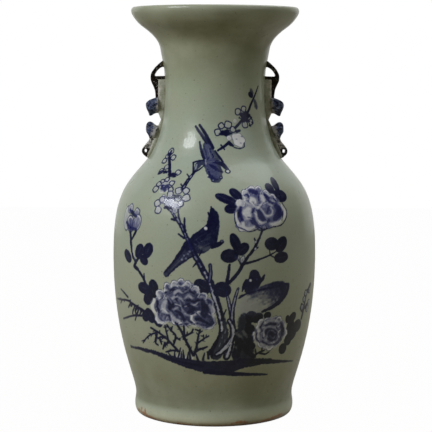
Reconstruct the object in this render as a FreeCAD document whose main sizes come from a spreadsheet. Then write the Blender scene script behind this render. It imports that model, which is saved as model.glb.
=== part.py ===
import FreeCAD, Part
import os
import Sketcher

# A tall glazed vase with a wide flared mouth, a waisted neck, an ovoid body and a rounded foot.
# It is luted together from thrown sections, and each side of the neck carries an openwork handle:
# a pale plate on the wall, a strap loop, two cloud-shaped heads that face each other across a gap,
# and a small scroll on the shoulder. Millimetres, +Z up, origin at the middle of the resting face.

SIZES = {
    # heights of the thrown sections
    "foot_height": 28.0,
    "lower_body_height": 200.0,
    "shoulder_height": 134.4,
    "neck_height": 159.6,
    "mouth_height": 58.0,
    # outer radii, and how far the wall stands back from the foot's bulge above and below it
    "foot_radius": 114.2,
    "foot_undercut_width": 5.7,
    "foot_waist_inset_width": 1.4,
    "belly_radius": 145.1,
    "shoulder_radius": 98.5,
    "throat_radius": 71.2,
    "mouth_joint_radius": 77.9,
    "flare_radius": 102.5,
    "lip_radius": 119.2,
    # how far the throat lies under the neck's upper joint
    "throat_drop_height": 59.0,
    # levels inside a section, from its own lower joint
    "foot_bulge_level": 13.0,
    "flare_level": 30.4,
    "lip_level": 52.0,
    # wall widths, measured level
    "foot_wall": 10.0,
    "belly_wall": 8.0,
    "shoulder_wall": 10.5,
    "throat_wall": 8.0,
    "mouth_joint_wall": 7.5,
    "flare_wall": 10.0,
    "lip_wall": 6.5,
    # foot ring and base
    "rest_width": 14.0,
    "foot_ring_flare": 3.0,
    "base_underside_level": 14.0,
    "base_thickness": 8.0,
    "base_ledge": 6.0,
    "base_gap": 0.3,
    # handles: clear of the neck's lower joint, and of its upper one
    "handle_lift_height": 3.6,
    "handle_headroom_height": 19.0,
    "handle_depth": 34.0,
    "plate_width": 20.0,
    "loop_width": 16.0,
    "upper_head_width": 30.0,
    "lower_head_width": 28.0,
    "scroll_width": 15.0,
    "luting_gap": 0.3,
    "root_depth": 12.0,
    "scroll_hole_radius": 2.0,
    "scroll_hole_length": 5.4,
    "plate_edge_radius": 2.0,
    "scroll_edge_radius": 0.8,
    "cut_overrun": 5.0,
}

# How steeply the wall leans at a joint, as radius gained per unit of height.
shoulder_lean_share = -0.84
mouth_joint_lean_share = 0.18
flare_lean_share = 1.37


class Size:
    """A length that knows its value and the sheet expression that gives it."""

    def __init__(self, value, text):
        self.value = value
        self.text = text

    def combine(self, sign, other, turn=False):
        if not isinstance(other, Size):
            other = Size(float(other), repr(float(other)))
        left, right = (other, self) if turn else (self, other)
        value = {"+": left.value + right.value, "-": left.value - right.value,
                 "*": left.value * right.value}[sign]
        return Size(value, f"({left.text} {sign} {right.text})")

    def __add__(self, other):
        return self.combine("+", other)

    def __sub__(self, other):
        return self.combine("-", other)

    def __mul__(self, other):
        return self.combine("*", other)

    def __rmul__(self, other):
        return self.combine("*", other, turn=True)

    def __neg__(self):
        return self.combine("*", -1.0)

    def at_most(self, other):
        return Size(min(self.value, other.value), f"min({self.text}; {other.text})")


def write_sheet(doc):
    """Puts every driving dimension in one row of the sheet, under its own alias."""
    sheet = doc.addObject("Spreadsheet::Sheet", "Sizes")
    for row, (name, value) in enumerate(SIZES.items(), start=1):
        sheet.set(f"A{row}", name)
        sheet.set(f"B{row}", str(value))
        sheet.setAlias(f"B{row}", name)
    doc.recompute()
    return {name: Size(float(sheet.get(name)), f"Sizes.{name}") for name in SIZES}


def new_body(doc, name):
    body = doc.addObject("PartDesign::Body", name)
    body.Label = name
    return body


def new_sketch(body, role, name):
    """A sketch on one of the body's own origin planes."""
    sketch = body.newObject("Sketcher::SketchObject", name)
    plane = [item for item in body.Origin.OriginFeatures if item.Role == role][0]
    sketch.AttachmentSupport = [(plane, "")]
    sketch.MapMode = "FlatFace"
    return sketch


def as_vector(point):
    return FreeCAD.Vector(point[0].value, point[1].value, 0)


def pin_point(sketch, geometry, vertex, point):
    """Ties a point of the sketch to the sheet, across and up."""
    for kind, size in zip(("DistanceX", "DistanceY"), point):
        if size.text == "0.0":
            axis = -2 if kind == "DistanceX" else -1
            sketch.addConstraint(Sketcher.Constraint("PointOnObject", geometry, vertex, axis))
            continue
        index = sketch.addConstraint(
            Sketcher.Constraint(kind, -1, 1, geometry, vertex, size.value))
        sketch.setExpression(f"Constraints[{index}]", size.text)


def draw_line(sketch, start, end):
    line = sketch.addGeometry(Part.LineSegment(as_vector(start), as_vector(end)), False)
    pin_point(sketch, line, 1, start)
    pin_point(sketch, line, 2, end)


def draw_curve(sketch, poles):
    """A cubic curve whose four control points are tied to the sheet."""
    curve = Part.BSplineCurve()
    degree = len(poles) - 1
    ends = [len(poles), len(poles)]
    knots = [0.0, 1.0]
    curve.buildFromPolesMultsKnots([as_vector(pole) for pole in poles], ends, knots, False, degree)
    index = sketch.addGeometry(curve, False)
    first_pole = sketch.GeometryCount
    sketch.exposeInternalGeometry(index)
    for step, pole in enumerate(poles):
        pin_point(sketch, first_pole + step, 3, pole)


def draw_outline(sketch, start, steps):
    """A closed outline: each step is one point for a line, or three control points for a curve."""
    here = start
    for step in steps:
        if len(step) == 1:
            draw_line(sketch, here, step[0])
        else:
            draw_curve(sketch, [here] + list(step))
        here = step[-1]
    draw_line(sketch, here, start)


def turned(doc, name, start, steps):
    """A thrown section: its outline turned once round the vase's axis."""
    body = new_body(doc, name)
    sketch = new_sketch(body, "XZ_Plane", f"{name}_outline")
    draw_outline(sketch, start, steps)
    wheel = body.newObject("PartDesign::Revolution", f"{name}_turned")
    wheel.Profile = sketch
    wheel.ReferenceAxis = (sketch, ["V_Axis"])
    wheel.Angle = 360
    sketch.Visibility = False
    return body


def along(point, lean, step):
    """A control point that lies on the wall's own slope, a level step above or below its end."""
    return (point[0] + step * lean, point[1] + step)


def waist_radius(s):
    """The outer radius where the lower body meets the foot."""
    return s["foot_radius"] - s["foot_waist_inset_width"]


def rest_radius(s):
    """The outer edge of the narrow ring that the vase stands on."""
    return s["foot_radius"] - s["foot_undercut_width"]


def joint_levels(s):
    """The level of each joint and turning point of the wall, from the resting face up."""
    foot_top = s["foot_height"]
    belly = foot_top + s["lower_body_height"]
    shoulder_top = belly + s["shoulder_height"]
    neck_top = shoulder_top + s["neck_height"]
    throat = neck_top - s["throat_drop_height"]
    flare = neck_top + s["flare_level"]
    lip = neck_top + s["lip_level"]
    return {
        "foot_top": foot_top, "belly": belly, "shoulder_top": shoulder_top, "throat": throat,
        "neck_top": neck_top, "flare": flare, "lip": lip, "rim": neck_top + s["mouth_height"],
    }


def wall_spans(s, inset):
    """The wall's cubic spans from foot to lip. inset is 0 for the outside and 1 for the inside."""
    z = joint_levels(s)
    foot = (waist_radius(s) - inset * s["foot_wall"], z["foot_top"])
    belly = (s["belly_radius"] - inset * s["belly_wall"], z["belly"])
    shoulder = (s["shoulder_radius"] - inset * s["shoulder_wall"], z["shoulder_top"])
    throat = (s["throat_radius"] - inset * s["throat_wall"], z["throat"])
    mouth = (s["mouth_joint_radius"] - inset * s["mouth_joint_wall"], z["neck_top"])
    flare = (s["flare_radius"] - inset * s["flare_wall"], z["flare"])
    lip = (s["lip_radius"] - inset * s["lip_wall"], z["lip"])
    lower, upper, neck = s["lower_body_height"], s["shoulder_height"], s["neck_height"]
    rise = s["neck_height"] - s["throat_drop_height"]
    climb = s["flare_level"]
    return {
        "lower_body": [foot, (foot[0], foot[1] + 0.12 * lower),
                       (belly[0], belly[1] - 0.615 * lower), belly],
        "shoulder": [belly, (belly[0], belly[1] + 0.662 * upper),
                     along(shoulder, shoulder_lean_share, -0.25 * upper), shoulder],
        "neck_low": [shoulder, along(shoulder, shoulder_lean_share, 0.077 * rise),
                     (throat[0], throat[1] - 0.644 * rise), throat],
        "neck_high": [throat, (throat[0], throat[1] + 0.2 * neck),
                      along(mouth, mouth_joint_lean_share, -0.158 * neck), mouth],
        "mouth_low": [mouth, along(mouth, mouth_joint_lean_share, 0.408 * climb),
                      along(flare, flare_lean_share, -0.319 * climb), flare],
        "mouth_high": [flare, along(flare, flare_lean_share, 0.234 * climb),
                       (lip[0], lip[1] - 0.12 * climb), lip],
    }


def backwards(span):
    return list(reversed(span))[1:]


def foot_ring(doc, s):
    """The foot: a rounded band on a narrow resting face, with a ledge inside for the base."""
    spans = wall_spans(s, 0)
    inner = wall_spans(s, 1)
    top_outer = spans["lower_body"][0]
    top_inner = inner["lower_body"][0]
    rest = (rest_radius(s), ZERO)
    bulge = (s["foot_radius"], s["foot_bulge_level"])
    rise = s["foot_height"] - s["foot_bulge_level"]
    rest_inner = (rest[0] - s["rest_width"], ZERO)
    ledge = s["base_underside_level"]
    ledge_outer = (rest_inner[0] - s["foot_ring_flare"] + s["base_ledge"], ledge)
    steps = [
        [(rest[0] + 0.6 * (bulge[0] - rest[0]), 0.06 * bulge[1]),
         (bulge[0], 0.46 * bulge[1]), bulge],
        [(bulge[0], bulge[1] + 0.4 * rise), (top_outer[0], top_outer[1] - 0.4 * rise), top_outer],
        [top_inner],
        [(ledge_outer[0], ledge + s["base_thickness"])],
        [ledge_outer],
        [(rest_inner[0] - s["foot_ring_flare"], ledge)],
        [rest_inner],
    ]
    return turned(doc, "foot_ring", rest, steps)


def base_disc(doc, s):
    """The slab that closes the bottom. It lies on the foot ring's ledge, a small gap inside it."""
    edge = rest_radius(s) - s["rest_width"] - s["foot_ring_flare"] + s["base_ledge"]
    radius = edge - s["base_gap"]
    low = s["base_underside_level"]
    high = low + s["base_thickness"]
    steps = [[(radius, low)], [(radius, high)], [(ZERO, high)]]
    return turned(doc, "base_disc", (ZERO, low), steps)


def thrown_section(doc, s, name, spans):
    """A section of the wall, outside up and inside down, with level joint faces."""
    outer = wall_spans(s, 0)
    inner = wall_spans(s, 1)
    steps = [outer[span][1:] for span in spans]
    steps.append([inner[spans[-1]][-1]])
    steps.extend(backwards(inner[span]) for span in reversed(spans))
    return turned(doc, name, outer[spans[0]][0], steps)


def mouth(doc, s):
    """The flared mouth. Its lip rolls over the top from the outside to the inside."""
    outer = wall_spans(s, 0)
    inner = wall_spans(s, 1)
    lip_out = outer["mouth_high"][-1]
    lip_in = inner["mouth_high"][-1]
    rim = joint_levels(s)["rim"]
    crown = (lip_out[0] - 0.55 * s["lip_wall"], rim)
    roll = rim - lip_out[1]
    steps = [
        outer["mouth_low"][1:],
        outer["mouth_high"][1:],
        [(lip_out[0], lip_out[1] + 0.6 * roll), (crown[0] + 0.3 * s["lip_wall"], rim), crown],
        [(crown[0] - 0.3 * s["lip_wall"], rim), (lip_in[0], lip_in[1] + 0.6 * roll), lip_in],
        backwards(inner["mouth_high"]),
        backwards(inner["mouth_low"]),
    ]
    return turned(doc, "mouth", outer["mouth_low"][0], steps)


def handle_height(s):
    """What the neck leaves for a handle between its two joints."""
    return s["neck_height"] - s["handle_lift_height"] - s["handle_headroom_height"]


def handle_point(s, out_share, up_share, shoulder_share=0.0):
    """A point of the handle's side view: out from the neck, up from the handle's lowest level.
    shoulder_share moves it out with the shoulder, as far as the neck itself widens at that level."""
    z = joint_levels(s)
    spread = s["shoulder_radius"] - s["throat_radius"]
    across = s["throat_radius"] + out_share * s["handle_depth"] + shoulder_share * spread
    up = z["shoulder_top"] + s["handle_lift_height"] + up_share * handle_height(s)
    return (across, up)


def handle_points(s):
    """The corners that the pieces of a handle share, so that each seats on the next."""
    def at(out_share, up_share, shoulder_share=0.0):
        return handle_point(s, out_share, up_share, shoulder_share)
    return {
        "plate_top": at(0.27, 0.820),
        "head_seat_top": at(0.27, 0.630),
        "head_seat_low": at(0.27, 0.470),
        "notch": at(0.05, 0.403, 0.125),
        "lower_seat_top": at(0.19, 0.340, 0.1),
        "lower_seat_low": at(0.13, 0.208, 0.4),
        "lower_head_foot": at(0.324, 0.208, 0.4),
        "scroll_seat_low": at(-0.04, 0.008, 1.0),
    }


def cut_to_wall(body, s, name):
    """Cuts a handle piece back to the outside of the neck, plus the luting gap."""
    sketch = new_sketch(body, "XZ_Plane", f"{name}_neck")
    gap = s["luting_gap"]
    outer = wall_spans(s, 0)
    spans = [[(pole[0] + gap, pole[1]) for pole in outer[key]] for key in ("neck_low", "neck_high")]
    inside = s["throat_radius"] - s["root_depth"] - s["cut_overrun"]
    bottom, top = spans[0][0], spans[1][-1]
    draw_outline(sketch, (inside, bottom[1]),
                 [[bottom], spans[0][1:], spans[1][1:], [(inside, top[1])]])
    groove = body.newObject("PartDesign::Groove", f"{name}_trim")
    groove.Profile = sketch
    groove.ReferenceAxis = (sketch, ["V_Axis"])
    groove.Angle = 360
    sketch.Visibility = False
    return groove


def slab(body, sketch, width, name):
    """Thickens a side view evenly to the front and the back."""
    pad = body.newObject("PartDesign::Pad", f"{name}_slab")
    pad.Profile = sketch
    pad.Type = "Length"
    pad.SideType = "Symmetric"
    pad.setExpression("Length", width.text)
    sketch.Visibility = False
    return pad


def soften(body, pad, edges, radius, name):
    """Rounds chosen edges of a slab, named by their place in its list of edges."""
    fillet = body.newObject("PartDesign::Fillet", f"{name}_soft_edges")
    fillet.Base = (pad, [f"Edge{number}" for number in edges])
    fillet.setExpression("Radius", radius.text)
    return fillet


def face_edges(pad, curved_only):
    """The edges that bound a slab's front and back faces."""
    pad.Document.recompute()
    half = pad.Length.Value / 2
    tolerance_share = 0.001
    chosen = []
    for number, edge in enumerate(pad.Shape.Edges, start=1):
        middle = edge.valueAt((edge.FirstParameter + edge.LastParameter) / 2)
        on_face = abs(abs(middle.y) / half - 1) < tolerance_share
        straight = edge.Curve.TypeId == "Part::GeomLine"
        if on_face and not (curved_only and straight):
            chosen.append(number)
    return chosen


def handle_plate(doc, s, side):
    """The pale plate that carries the handle. It follows the neck down to the shoulder."""
    name = f"{side}_handle_plate"
    body = new_body(doc, name)
    p = handle_points(s)
    root = s["throat_radius"] - s["root_depth"]
    sketch = new_sketch(body, "XZ_Plane", f"{name}_side_view")
    draw_outline(sketch, (root, p["plate_top"][1]), [
        [p["plate_top"]], [p["head_seat_top"]], [p["head_seat_low"]], [p["notch"]],
        [p["lower_seat_top"]], [p["lower_seat_low"]], [p["scroll_seat_low"]],
        [(root, p["scroll_seat_low"][1])]])
    pad = slab(body, sketch, s["plate_width"], name)
    soften(body, pad, face_edges(pad, False), s["plate_edge_radius"], name)
    cut_to_wall(body, s, name)
    return body


def upper_loop(doc, s, side):
    """The strap that springs from the neck, rounds the finger hole and runs down to the head."""
    name = f"{side}_handle_upper_loop"
    body = new_body(doc, name)
    p = handle_points(s)

    def at(out_share, up_share):
        return handle_point(s, out_share, up_share)
    root = s["throat_radius"] - s["root_depth"]
    strand_foot = at(0.385, 0.630)
    sketch = new_sketch(body, "XZ_Plane", f"{name}_side_view")
    draw_outline(sketch, (root, at(0, 1.02)[1]), [
        [at(0.06, 1.02)],
        [at(0.22, 0.985), at(0.59, 0.92), at(0.594, 0.845)],
        [at(0.598, 0.765), at(0.385, 0.765), strand_foot],
        [p["head_seat_top"]],
        [p["plate_top"]],
        [(root, p["plate_top"][1])],
        [(root, at(0, 0.855)[1])],
        [at(0.37, 0.851)],
        [at(0.43, 0.850), at(0.442, 0.861), at(0.42, 0.874)],
        [at(0.37, 0.904), at(0.25, 0.938), at(0.10, 0.950)],
        [(root, at(0, 0.953)[1])],
    ])
    slab(body, sketch, s["loop_width"], name)
    cut_to_wall(body, s, name)
    return body


def cloud_cut(body, s, name, width, top, bottom, tip_share):
    """Cuts a slab to the cloud outline that is seen from the side of the vase: a centre lobe and
    two side lobes. tip_share is 0 where the centre lobe hangs down and 1 where it stands up."""
    sketch = new_sketch(body, "YZ_Plane", f"{name}_cloud")
    tall = top - bottom
    half = 0.5 * width

    def at(out_share, up_share):
        up = up_share if tip_share == 0 else 1.0 - up_share
        across = ZERO if out_share == 0 else out_share * half
        return (across, bottom + up * tall)
    right = [
        [at(0.75, 1.0), at(1.0, 0.86), at(1.0, 0.62)],
        [at(1.0, 0.36), at(0.72, 0.2), at(0.5, 0.3)],
        [at(0.46, 0.1), at(0.2, -0.02), at(0, -0.02)],
    ]
    left = [
        [at(-0.2, -0.02), at(-0.46, 0.1), at(-0.5, 0.3)],
        [at(-0.72, 0.2), at(-1.0, 0.36), at(-1.0, 0.62)],
        [at(-1.0, 0.86), at(-0.75, 1.0), at(-0.45, 1.02)],
    ]
    draw_outline(sketch, at(0.45, 1.02), right + left)
    margin = s["cut_overrun"]
    corners = [(half + margin, top + margin), (half + margin, bottom - margin),
               (-half - margin, bottom - margin), (-half - margin, top + margin)]
    draw_outline(sketch, corners[0], [[corner] for corner in corners[1:]])
    pocket = body.newObject("PartDesign::Pocket", f"{name}_cloud_cut")
    pocket.Profile = sketch
    pocket.Type = "ThroughAll"
    pocket.SideType = "Symmetric"
    sketch.Visibility = False
    return pocket


def crown_cut(body, s, name, width, seat, nose):
    """Cuts a head to the crown that is seen from above: full in the middle, set back at its sides."""
    sketch = new_sketch(body, "XY_Plane", f"{name}_crown")
    half = 0.5 * width
    depth = nose - seat
    margin = s["cut_overrun"]
    cheek = seat + 0.22 * depth
    shift = half - 0.45 * half
    far, near, side = nose + margin, seat - margin, half + margin
    draw_outline(sketch, (cheek, half), [
        [(cheek + 0.5 * depth, half), (nose, shift), (nose, ZERO)],
        [(nose, -shift), (cheek + 0.5 * depth, -half), (cheek, -half)],
        [(cheek, -side)],
        [(far, -side)],
        [(far, side)],
        [(cheek, side)],
    ])
    pocket = body.newObject("PartDesign::Pocket", f"{name}_crown_cut")
    pocket.Profile = sketch
    pocket.Type = "ThroughAll"
    pocket.SideType = "Symmetric"
    sketch.Visibility = False
    return pocket


def upper_head(doc, s, side):
    """The upper cloud head. It swells outwards and its lip hooks in under it."""
    name = f"{side}_handle_upper_head"
    body = new_body(doc, name)
    p = handle_points(s)

    def at(out_share, up_share):
        return handle_point(s, out_share, up_share)
    sketch = new_sketch(body, "XZ_Plane", f"{name}_side_view")
    draw_outline(sketch, p["head_seat_top"], [
        [at(0.385, 0.630)],
        [at(0.55, 0.612), at(0.80, 0.600), at(0.803, 0.553)],
        [at(0.80, 0.520), at(0.68, 0.492), at(0.65, 0.444)],
        [at(0.54, 0.434), at(0.44, 0.482), p["head_seat_low"]],
    ])
    slab(body, sketch, s["upper_head_width"], name)
    top = p["head_seat_top"][1]
    bottom = at(0, 0.444)[1]
    cloud_cut(body, s, name, s["upper_head_width"], top, bottom, 0)
    crown_cut(body, s, name, s["upper_head_width"], p["head_seat_top"][0], at(0.803, 0)[0])
    return body


def lower_head(doc, s, side):
    """The lower cloud head, which faces the upper one across the gap."""
    name = f"{side}_handle_lower_head"
    body = new_body(doc, name)
    p = handle_points(s)

    def at(out_share, up_share):
        return handle_point(s, out_share, up_share)
    sketch = new_sketch(body, "XZ_Plane", f"{name}_side_view")
    foot = p["lower_head_foot"]
    draw_outline(sketch, p["lower_seat_top"], [
        [at(0.40, 0.322), at(0.50, 0.382), at(0.65, 0.378)],
        [at(0.78, 0.374), at(0.798, 0.330), at(0.798, 0.298)],
        [at(0.798, 0.262), at(0.655, 0.250), foot],
        [p["lower_seat_low"]],
    ])
    slab(body, sketch, s["lower_head_width"], name)
    cloud_cut(body, s, name, s["lower_head_width"], at(0, 0.378)[1], foot[1], 1)
    crown_cut(body, s, name, s["lower_head_width"], p["lower_seat_top"][0], at(0.798, 0)[0])
    return body


def lower_loop(doc, s, side):
    """The small scroll under the lower head, with its eye, that ends on the shoulder."""
    name = f"{side}_handle_lower_loop"
    body = new_body(doc, name)
    p = handle_points(s)

    def at(out_share, up_share, shoulder_share=0.0):
        return handle_point(s, out_share, up_share, shoulder_share)
    head_foot = p["lower_head_foot"]
    nose = at(0.155, 0.078, 1.0)
    sketch = new_sketch(body, "XZ_Plane", f"{name}_side_view")
    draw_outline(sketch, p["lower_seat_low"], [
        [head_foot],
        [(head_foot[0], head_foot[1] - 0.035 * handle_height(s)), at(0.155, 0.120, 1.0), nose],
        [at(0.155, 0.040, 1.0), at(0.02, 0.028, 1.0), p["scroll_seat_low"]],
    ])
    seat_share = 0.36
    seat_across = (1.0 - seat_share) * p["scroll_seat_low"][0] + seat_share * p["lower_seat_low"][0]
    eye = (0.49 * seat_across + 0.51 * nose[0], nose[1])
    reach = 0.5 * s["scroll_hole_length"] - s["scroll_hole_radius"]
    draw_slot(sketch, eye, reach, s["scroll_hole_radius"])
    pad = slab(body, sketch, s["scroll_width"], name)
    eye_wall = nose[0] - eye[0] - s["scroll_hole_radius"]
    soften(body, pad, face_edges(pad, True), s["scroll_edge_radius"].at_most(0.28 * eye_wall), name)
    cut_to_wall(body, s, name)
    return body


def draw_slot(sketch, centre, reach, radius):
    """An upright slot: two straight sides and two round ends."""
    east, west = centre[0] + radius, centre[0] - radius
    high, low = centre[1] + reach, centre[1] - reach
    bend = 1.333 * radius
    draw_outline(sketch, (east, high), [
        [(east, high + bend), (west, high + bend), (west, high)],
        [(west, low)],
        [(west, low - bend), (east, low - bend), (east, low)],
    ])


def check_and_write(doc, bodies):
    """Refuses a failed object, then writes one file for each piece."""
    for item in doc.Objects:
        if "Invalid" in item.State or "Error" in item.State:
            raise RuntimeError(f"{item.Label} failed: {item.State}")
    os.makedirs("parts", exist_ok=True)
    for body in bodies:
        shape = body.Shape
        if shape.isNull() or not shape.isValid() or len(shape.Solids) != 1:
            raise RuntimeError(f"{body.Label} is not one valid solid")
        shape.exportStep(os.path.join("parts", f"{body.Label}.step"))
        box = shape.BoundBox
        print(f"{body.Label:26s} {shape.Volume / 1000:9.2f} cm3  "
              f"x {box.XMin:7.1f} {box.XMax:7.1f}  z {box.ZMin:6.1f} {box.ZMax:6.1f}")


ZERO = Size(0.0, "0.0")

document = FreeCAD.newDocument("vase")
sizes = write_sheet(document)
pieces = [
    foot_ring(document, sizes),
    base_disc(document, sizes),
    thrown_section(document, sizes, "lower_body", ["lower_body"]),
    thrown_section(document, sizes, "shoulder", ["shoulder"]),
    thrown_section(document, sizes, "neck", ["neck_low", "neck_high"]),
    mouth(document, sizes),
]
for side, turn in (("right", 0), ("left", 180)):
    for make in (handle_plate, upper_loop, upper_head, lower_head, lower_loop):
        piece = make(document, sizes, side)
        piece.Placement.Rotation = FreeCAD.Rotation(FreeCAD.Vector(0, 0, 1), turn)
        pieces.append(piece)
document.recompute()
check_and_write(document, pieces)
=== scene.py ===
# %% [markdown]
# A tall glazed porcelain vase, painted on its front in cobalt blue and white slip.
# The measured model comes in first and stays as it is. Everything below only dresses it, so each
# new piece rides on the same body and takes its size from the same named lengths.

# %% Load the measured model
import math

import bpy
import numpy as np
from mathutils import Matrix, Vector
from mathutils.noise import noise as noise_at


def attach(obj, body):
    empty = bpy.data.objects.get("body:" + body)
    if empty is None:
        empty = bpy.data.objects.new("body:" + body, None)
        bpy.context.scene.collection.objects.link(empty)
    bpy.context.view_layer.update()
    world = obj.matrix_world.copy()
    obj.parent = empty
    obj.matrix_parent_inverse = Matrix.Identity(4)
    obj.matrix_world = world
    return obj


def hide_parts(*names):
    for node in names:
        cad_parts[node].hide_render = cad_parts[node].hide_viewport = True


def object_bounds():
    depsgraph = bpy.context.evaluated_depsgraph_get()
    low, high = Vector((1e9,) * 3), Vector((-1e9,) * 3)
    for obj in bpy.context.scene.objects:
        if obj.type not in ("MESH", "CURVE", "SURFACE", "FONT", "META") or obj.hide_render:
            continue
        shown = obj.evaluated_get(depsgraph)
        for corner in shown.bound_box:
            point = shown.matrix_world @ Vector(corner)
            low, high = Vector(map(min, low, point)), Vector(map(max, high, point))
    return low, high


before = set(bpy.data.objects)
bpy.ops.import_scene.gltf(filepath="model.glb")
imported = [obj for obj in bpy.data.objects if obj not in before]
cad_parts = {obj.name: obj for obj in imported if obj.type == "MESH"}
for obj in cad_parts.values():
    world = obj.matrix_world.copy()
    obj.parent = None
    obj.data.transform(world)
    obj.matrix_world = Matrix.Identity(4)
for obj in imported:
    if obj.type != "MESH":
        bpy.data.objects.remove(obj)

cad_low, cad_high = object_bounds()
MM = 0.001
height = cad_high[2] - cad_low[2]
print("pieces", len(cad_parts), "height in mm", round(height / MM, 1))

# %% [markdown]
# The camera stands where the photograph's stood. The width of the foot and the lip, and how far
# their edges bow, fix its distance and its height: the eye is a little below the rim, which is why
# the lip hides the inside. A long lens keeps the sides nearly parallel.

# %% Camera
PHOTO_SIDE = 432
FOCAL_PX = 1520.3
OPTICAL_PX = (214.5, 210.9)
EYE_DISTANCE = 2177 * MM
EYE_HEIGHT = 495 * MM
EYE_PITCH = math.radians(-5.38)
EYE_ROLL = math.radians(0.19)
SENSOR = 36.0

camera = bpy.data.objects.new("camera", bpy.data.cameras.new("camera"))
bpy.context.scene.collection.objects.link(camera)
camera.data.sensor_width = SENSOR
camera.data.lens = FOCAL_PX * SENSOR / PHOTO_SIDE
camera.data.shift_x = (PHOTO_SIDE / 2 - OPTICAL_PX[0]) / PHOTO_SIDE
camera.data.shift_y = (OPTICAL_PX[1] - PHOTO_SIDE / 2) / PHOTO_SIDE
camera.data.clip_end = 100
camera.matrix_world = (
    Matrix.Translation((0, -EYE_DISTANCE, EYE_HEIGHT))
    @ Matrix.Rotation(math.pi / 2 + EYE_PITCH, 4, "X")
    @ Matrix.Rotation(EYE_ROLL, 4, "Z")
)
bpy.context.scene.camera = camera
bpy.context.scene.view_settings.view_transform = "Standard"
print("lens in mm", round(camera.data.lens, 1))

# %% [markdown]
# Colours are written as the hex values that a picture shows, and turned into the linear values that
# the renderer works in. One helper adds a shader node with its settings and links, whatever its kind.

# %% Colour and node helpers
def linear(hex_colour):
    channels = [int(hex_colour[i:i + 2], 16) / 255 for i in (1, 3, 5)]
    return tuple(c / 12.92 if c <= 0.04045 else ((c + 0.055) / 1.055) ** 2.4 for c in channels) + (1,)


def add_node(tree, kind, settings=None, **inputs):
    """Adds a node. settings are its own properties; inputs are values, or sockets to link from."""
    node = tree.nodes.new(kind)
    for name, value in (settings or {}).items():
        setattr(node, name, value)
    for name, value in inputs.items():
        socket = node.inputs[int(name[1:])] if name[0] == "i" and name[1:].isdigit() \
            else node.inputs[name.replace("_", " ")]
        if isinstance(value, bpy.types.NodeSocket):
            tree.links.new(value, socket)
        else:
            socket.default_value = value
    return node


def new_material(name):
    material = bpy.data.materials.new(name)
    material.use_nodes = True
    material.node_tree.nodes.clear()
    return material


print("celadon #9ba592 is linear", [round(c, 3) for c in linear("#9ba592")[:3]])

# %% [markdown]
# The floor and the sheet behind the vase are plain and pale. The camera sees them as white, so they
# carry a little light of their own for those rays, and less of it for the rays that the glaze mirrors:
# the sheet behind gives the vase the bright edges that it has in the photograph. To everything else
# they are a grey that throws little light back up, which keeps the foot darker than the shoulder.

# %% Floor and background
FLOOR_SIZE = 12.0
SHEET_BEHIND, SHEET_WIDTH, SHEET_HEIGHT = 3.2, 9.0, 4.5


def pale_sheet_material(name, shown, mirrored):
    """shown and mirrored are how much of its own white the camera and the glaze see of the sheet."""
    material = new_material(name)
    tree = material.node_tree
    path = add_node(tree, "ShaderNodeLightPath")
    to_camera = add_node(tree, "ShaderNodeMath", {"operation": "MULTIPLY"},
                         i0=path.outputs["Is Camera Ray"], i1=shown)
    to_glaze = add_node(tree, "ShaderNodeMath", {"operation": "MULTIPLY"},
                        i0=path.outputs["Is Glossy Ray"], i1=mirrored)
    share = add_node(tree, "ShaderNodeMath", {"operation": "MAXIMUM"},
                     i0=to_camera.outputs[0], i1=to_glaze.outputs[0])
    matte = add_node(tree, "ShaderNodeBsdfDiffuse", Color=linear("#908a76"))
    white = add_node(tree, "ShaderNodeEmission", Color=linear("#ffffff"), Strength=1.0)
    mix = add_node(tree, "ShaderNodeMixShader", i0=share.outputs[0],
                   i1=matte.outputs[0], i2=white.outputs[0])
    add_node(tree, "ShaderNodeOutputMaterial", Surface=mix.outputs[0])
    return material


def sheet(name, corners, material):
    mesh = bpy.data.meshes.new(name)
    mesh.from_pydata(corners, [], [(0, 1, 2, 3)])
    mesh.materials.append(material)
    piece = bpy.data.objects.new(name, mesh)
    bpy.context.scene.collection.objects.link(piece)


half = FLOOR_SIZE / 2
sheet("floor", [(-half, -half, 0), (half, -half, 0), (half, half, 0), (-half, half, 0)],
      pale_sheet_material("matte_pale_floor", shown=0.985, mirrored=0.2))
side = SHEET_WIDTH / 2
sheet("backdrop", [(-side, SHEET_BEHIND, 0), (side, SHEET_BEHIND, 0),
                   (side, SHEET_BEHIND, SHEET_HEIGHT), (-side, SHEET_BEHIND, SHEET_HEIGHT)],
      pale_sheet_material("matte_pale_backdrop", shown=1.0, mirrored=0.75))

world = bpy.data.worlds.new("studio")
world.use_nodes = True
bpy.context.scene.world = world
sky = world.node_tree
sky.nodes.clear()
sky_path = add_node(sky, "ShaderNodeLightPath")
sky_seen = add_node(sky, "ShaderNodeMath", {"operation": "MAXIMUM"},
                    i0=sky_path.outputs["Is Camera Ray"], i1=sky_path.outputs["Is Transmission Ray"])
WORLD_LEVEL = 0.09
dim = add_node(sky, "ShaderNodeBackground", Color=linear("#fff4cc"), Strength=WORLD_LEVEL)
bright = add_node(sky, "ShaderNodeBackground", Color=linear("#ffffff"), Strength=1.0)
sky_mix = add_node(sky, "ShaderNodeMixShader", i0=sky_seen.outputs[0],
                   i1=dim.outputs[0], i2=bright.outputs[0])
add_node(sky, "ShaderNodeOutputWorld", Surface=sky_mix.outputs[0])
print("floor", FLOOR_SIZE, "m wide, backdrop", SHEET_BEHIND, "m behind")

# %% [markdown]
# The photograph is lit from high on the left by something large and soft: the shoulder is the
# brightest place and the underside of the mouth the darkest. The bright oval on the neck's root, and
# part of the white on the blossoms under it, are the key lamp's own reflection in the glaze.

# %% Lamps
LAMP_AIM = Vector((0, 0, 0.3))


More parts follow.
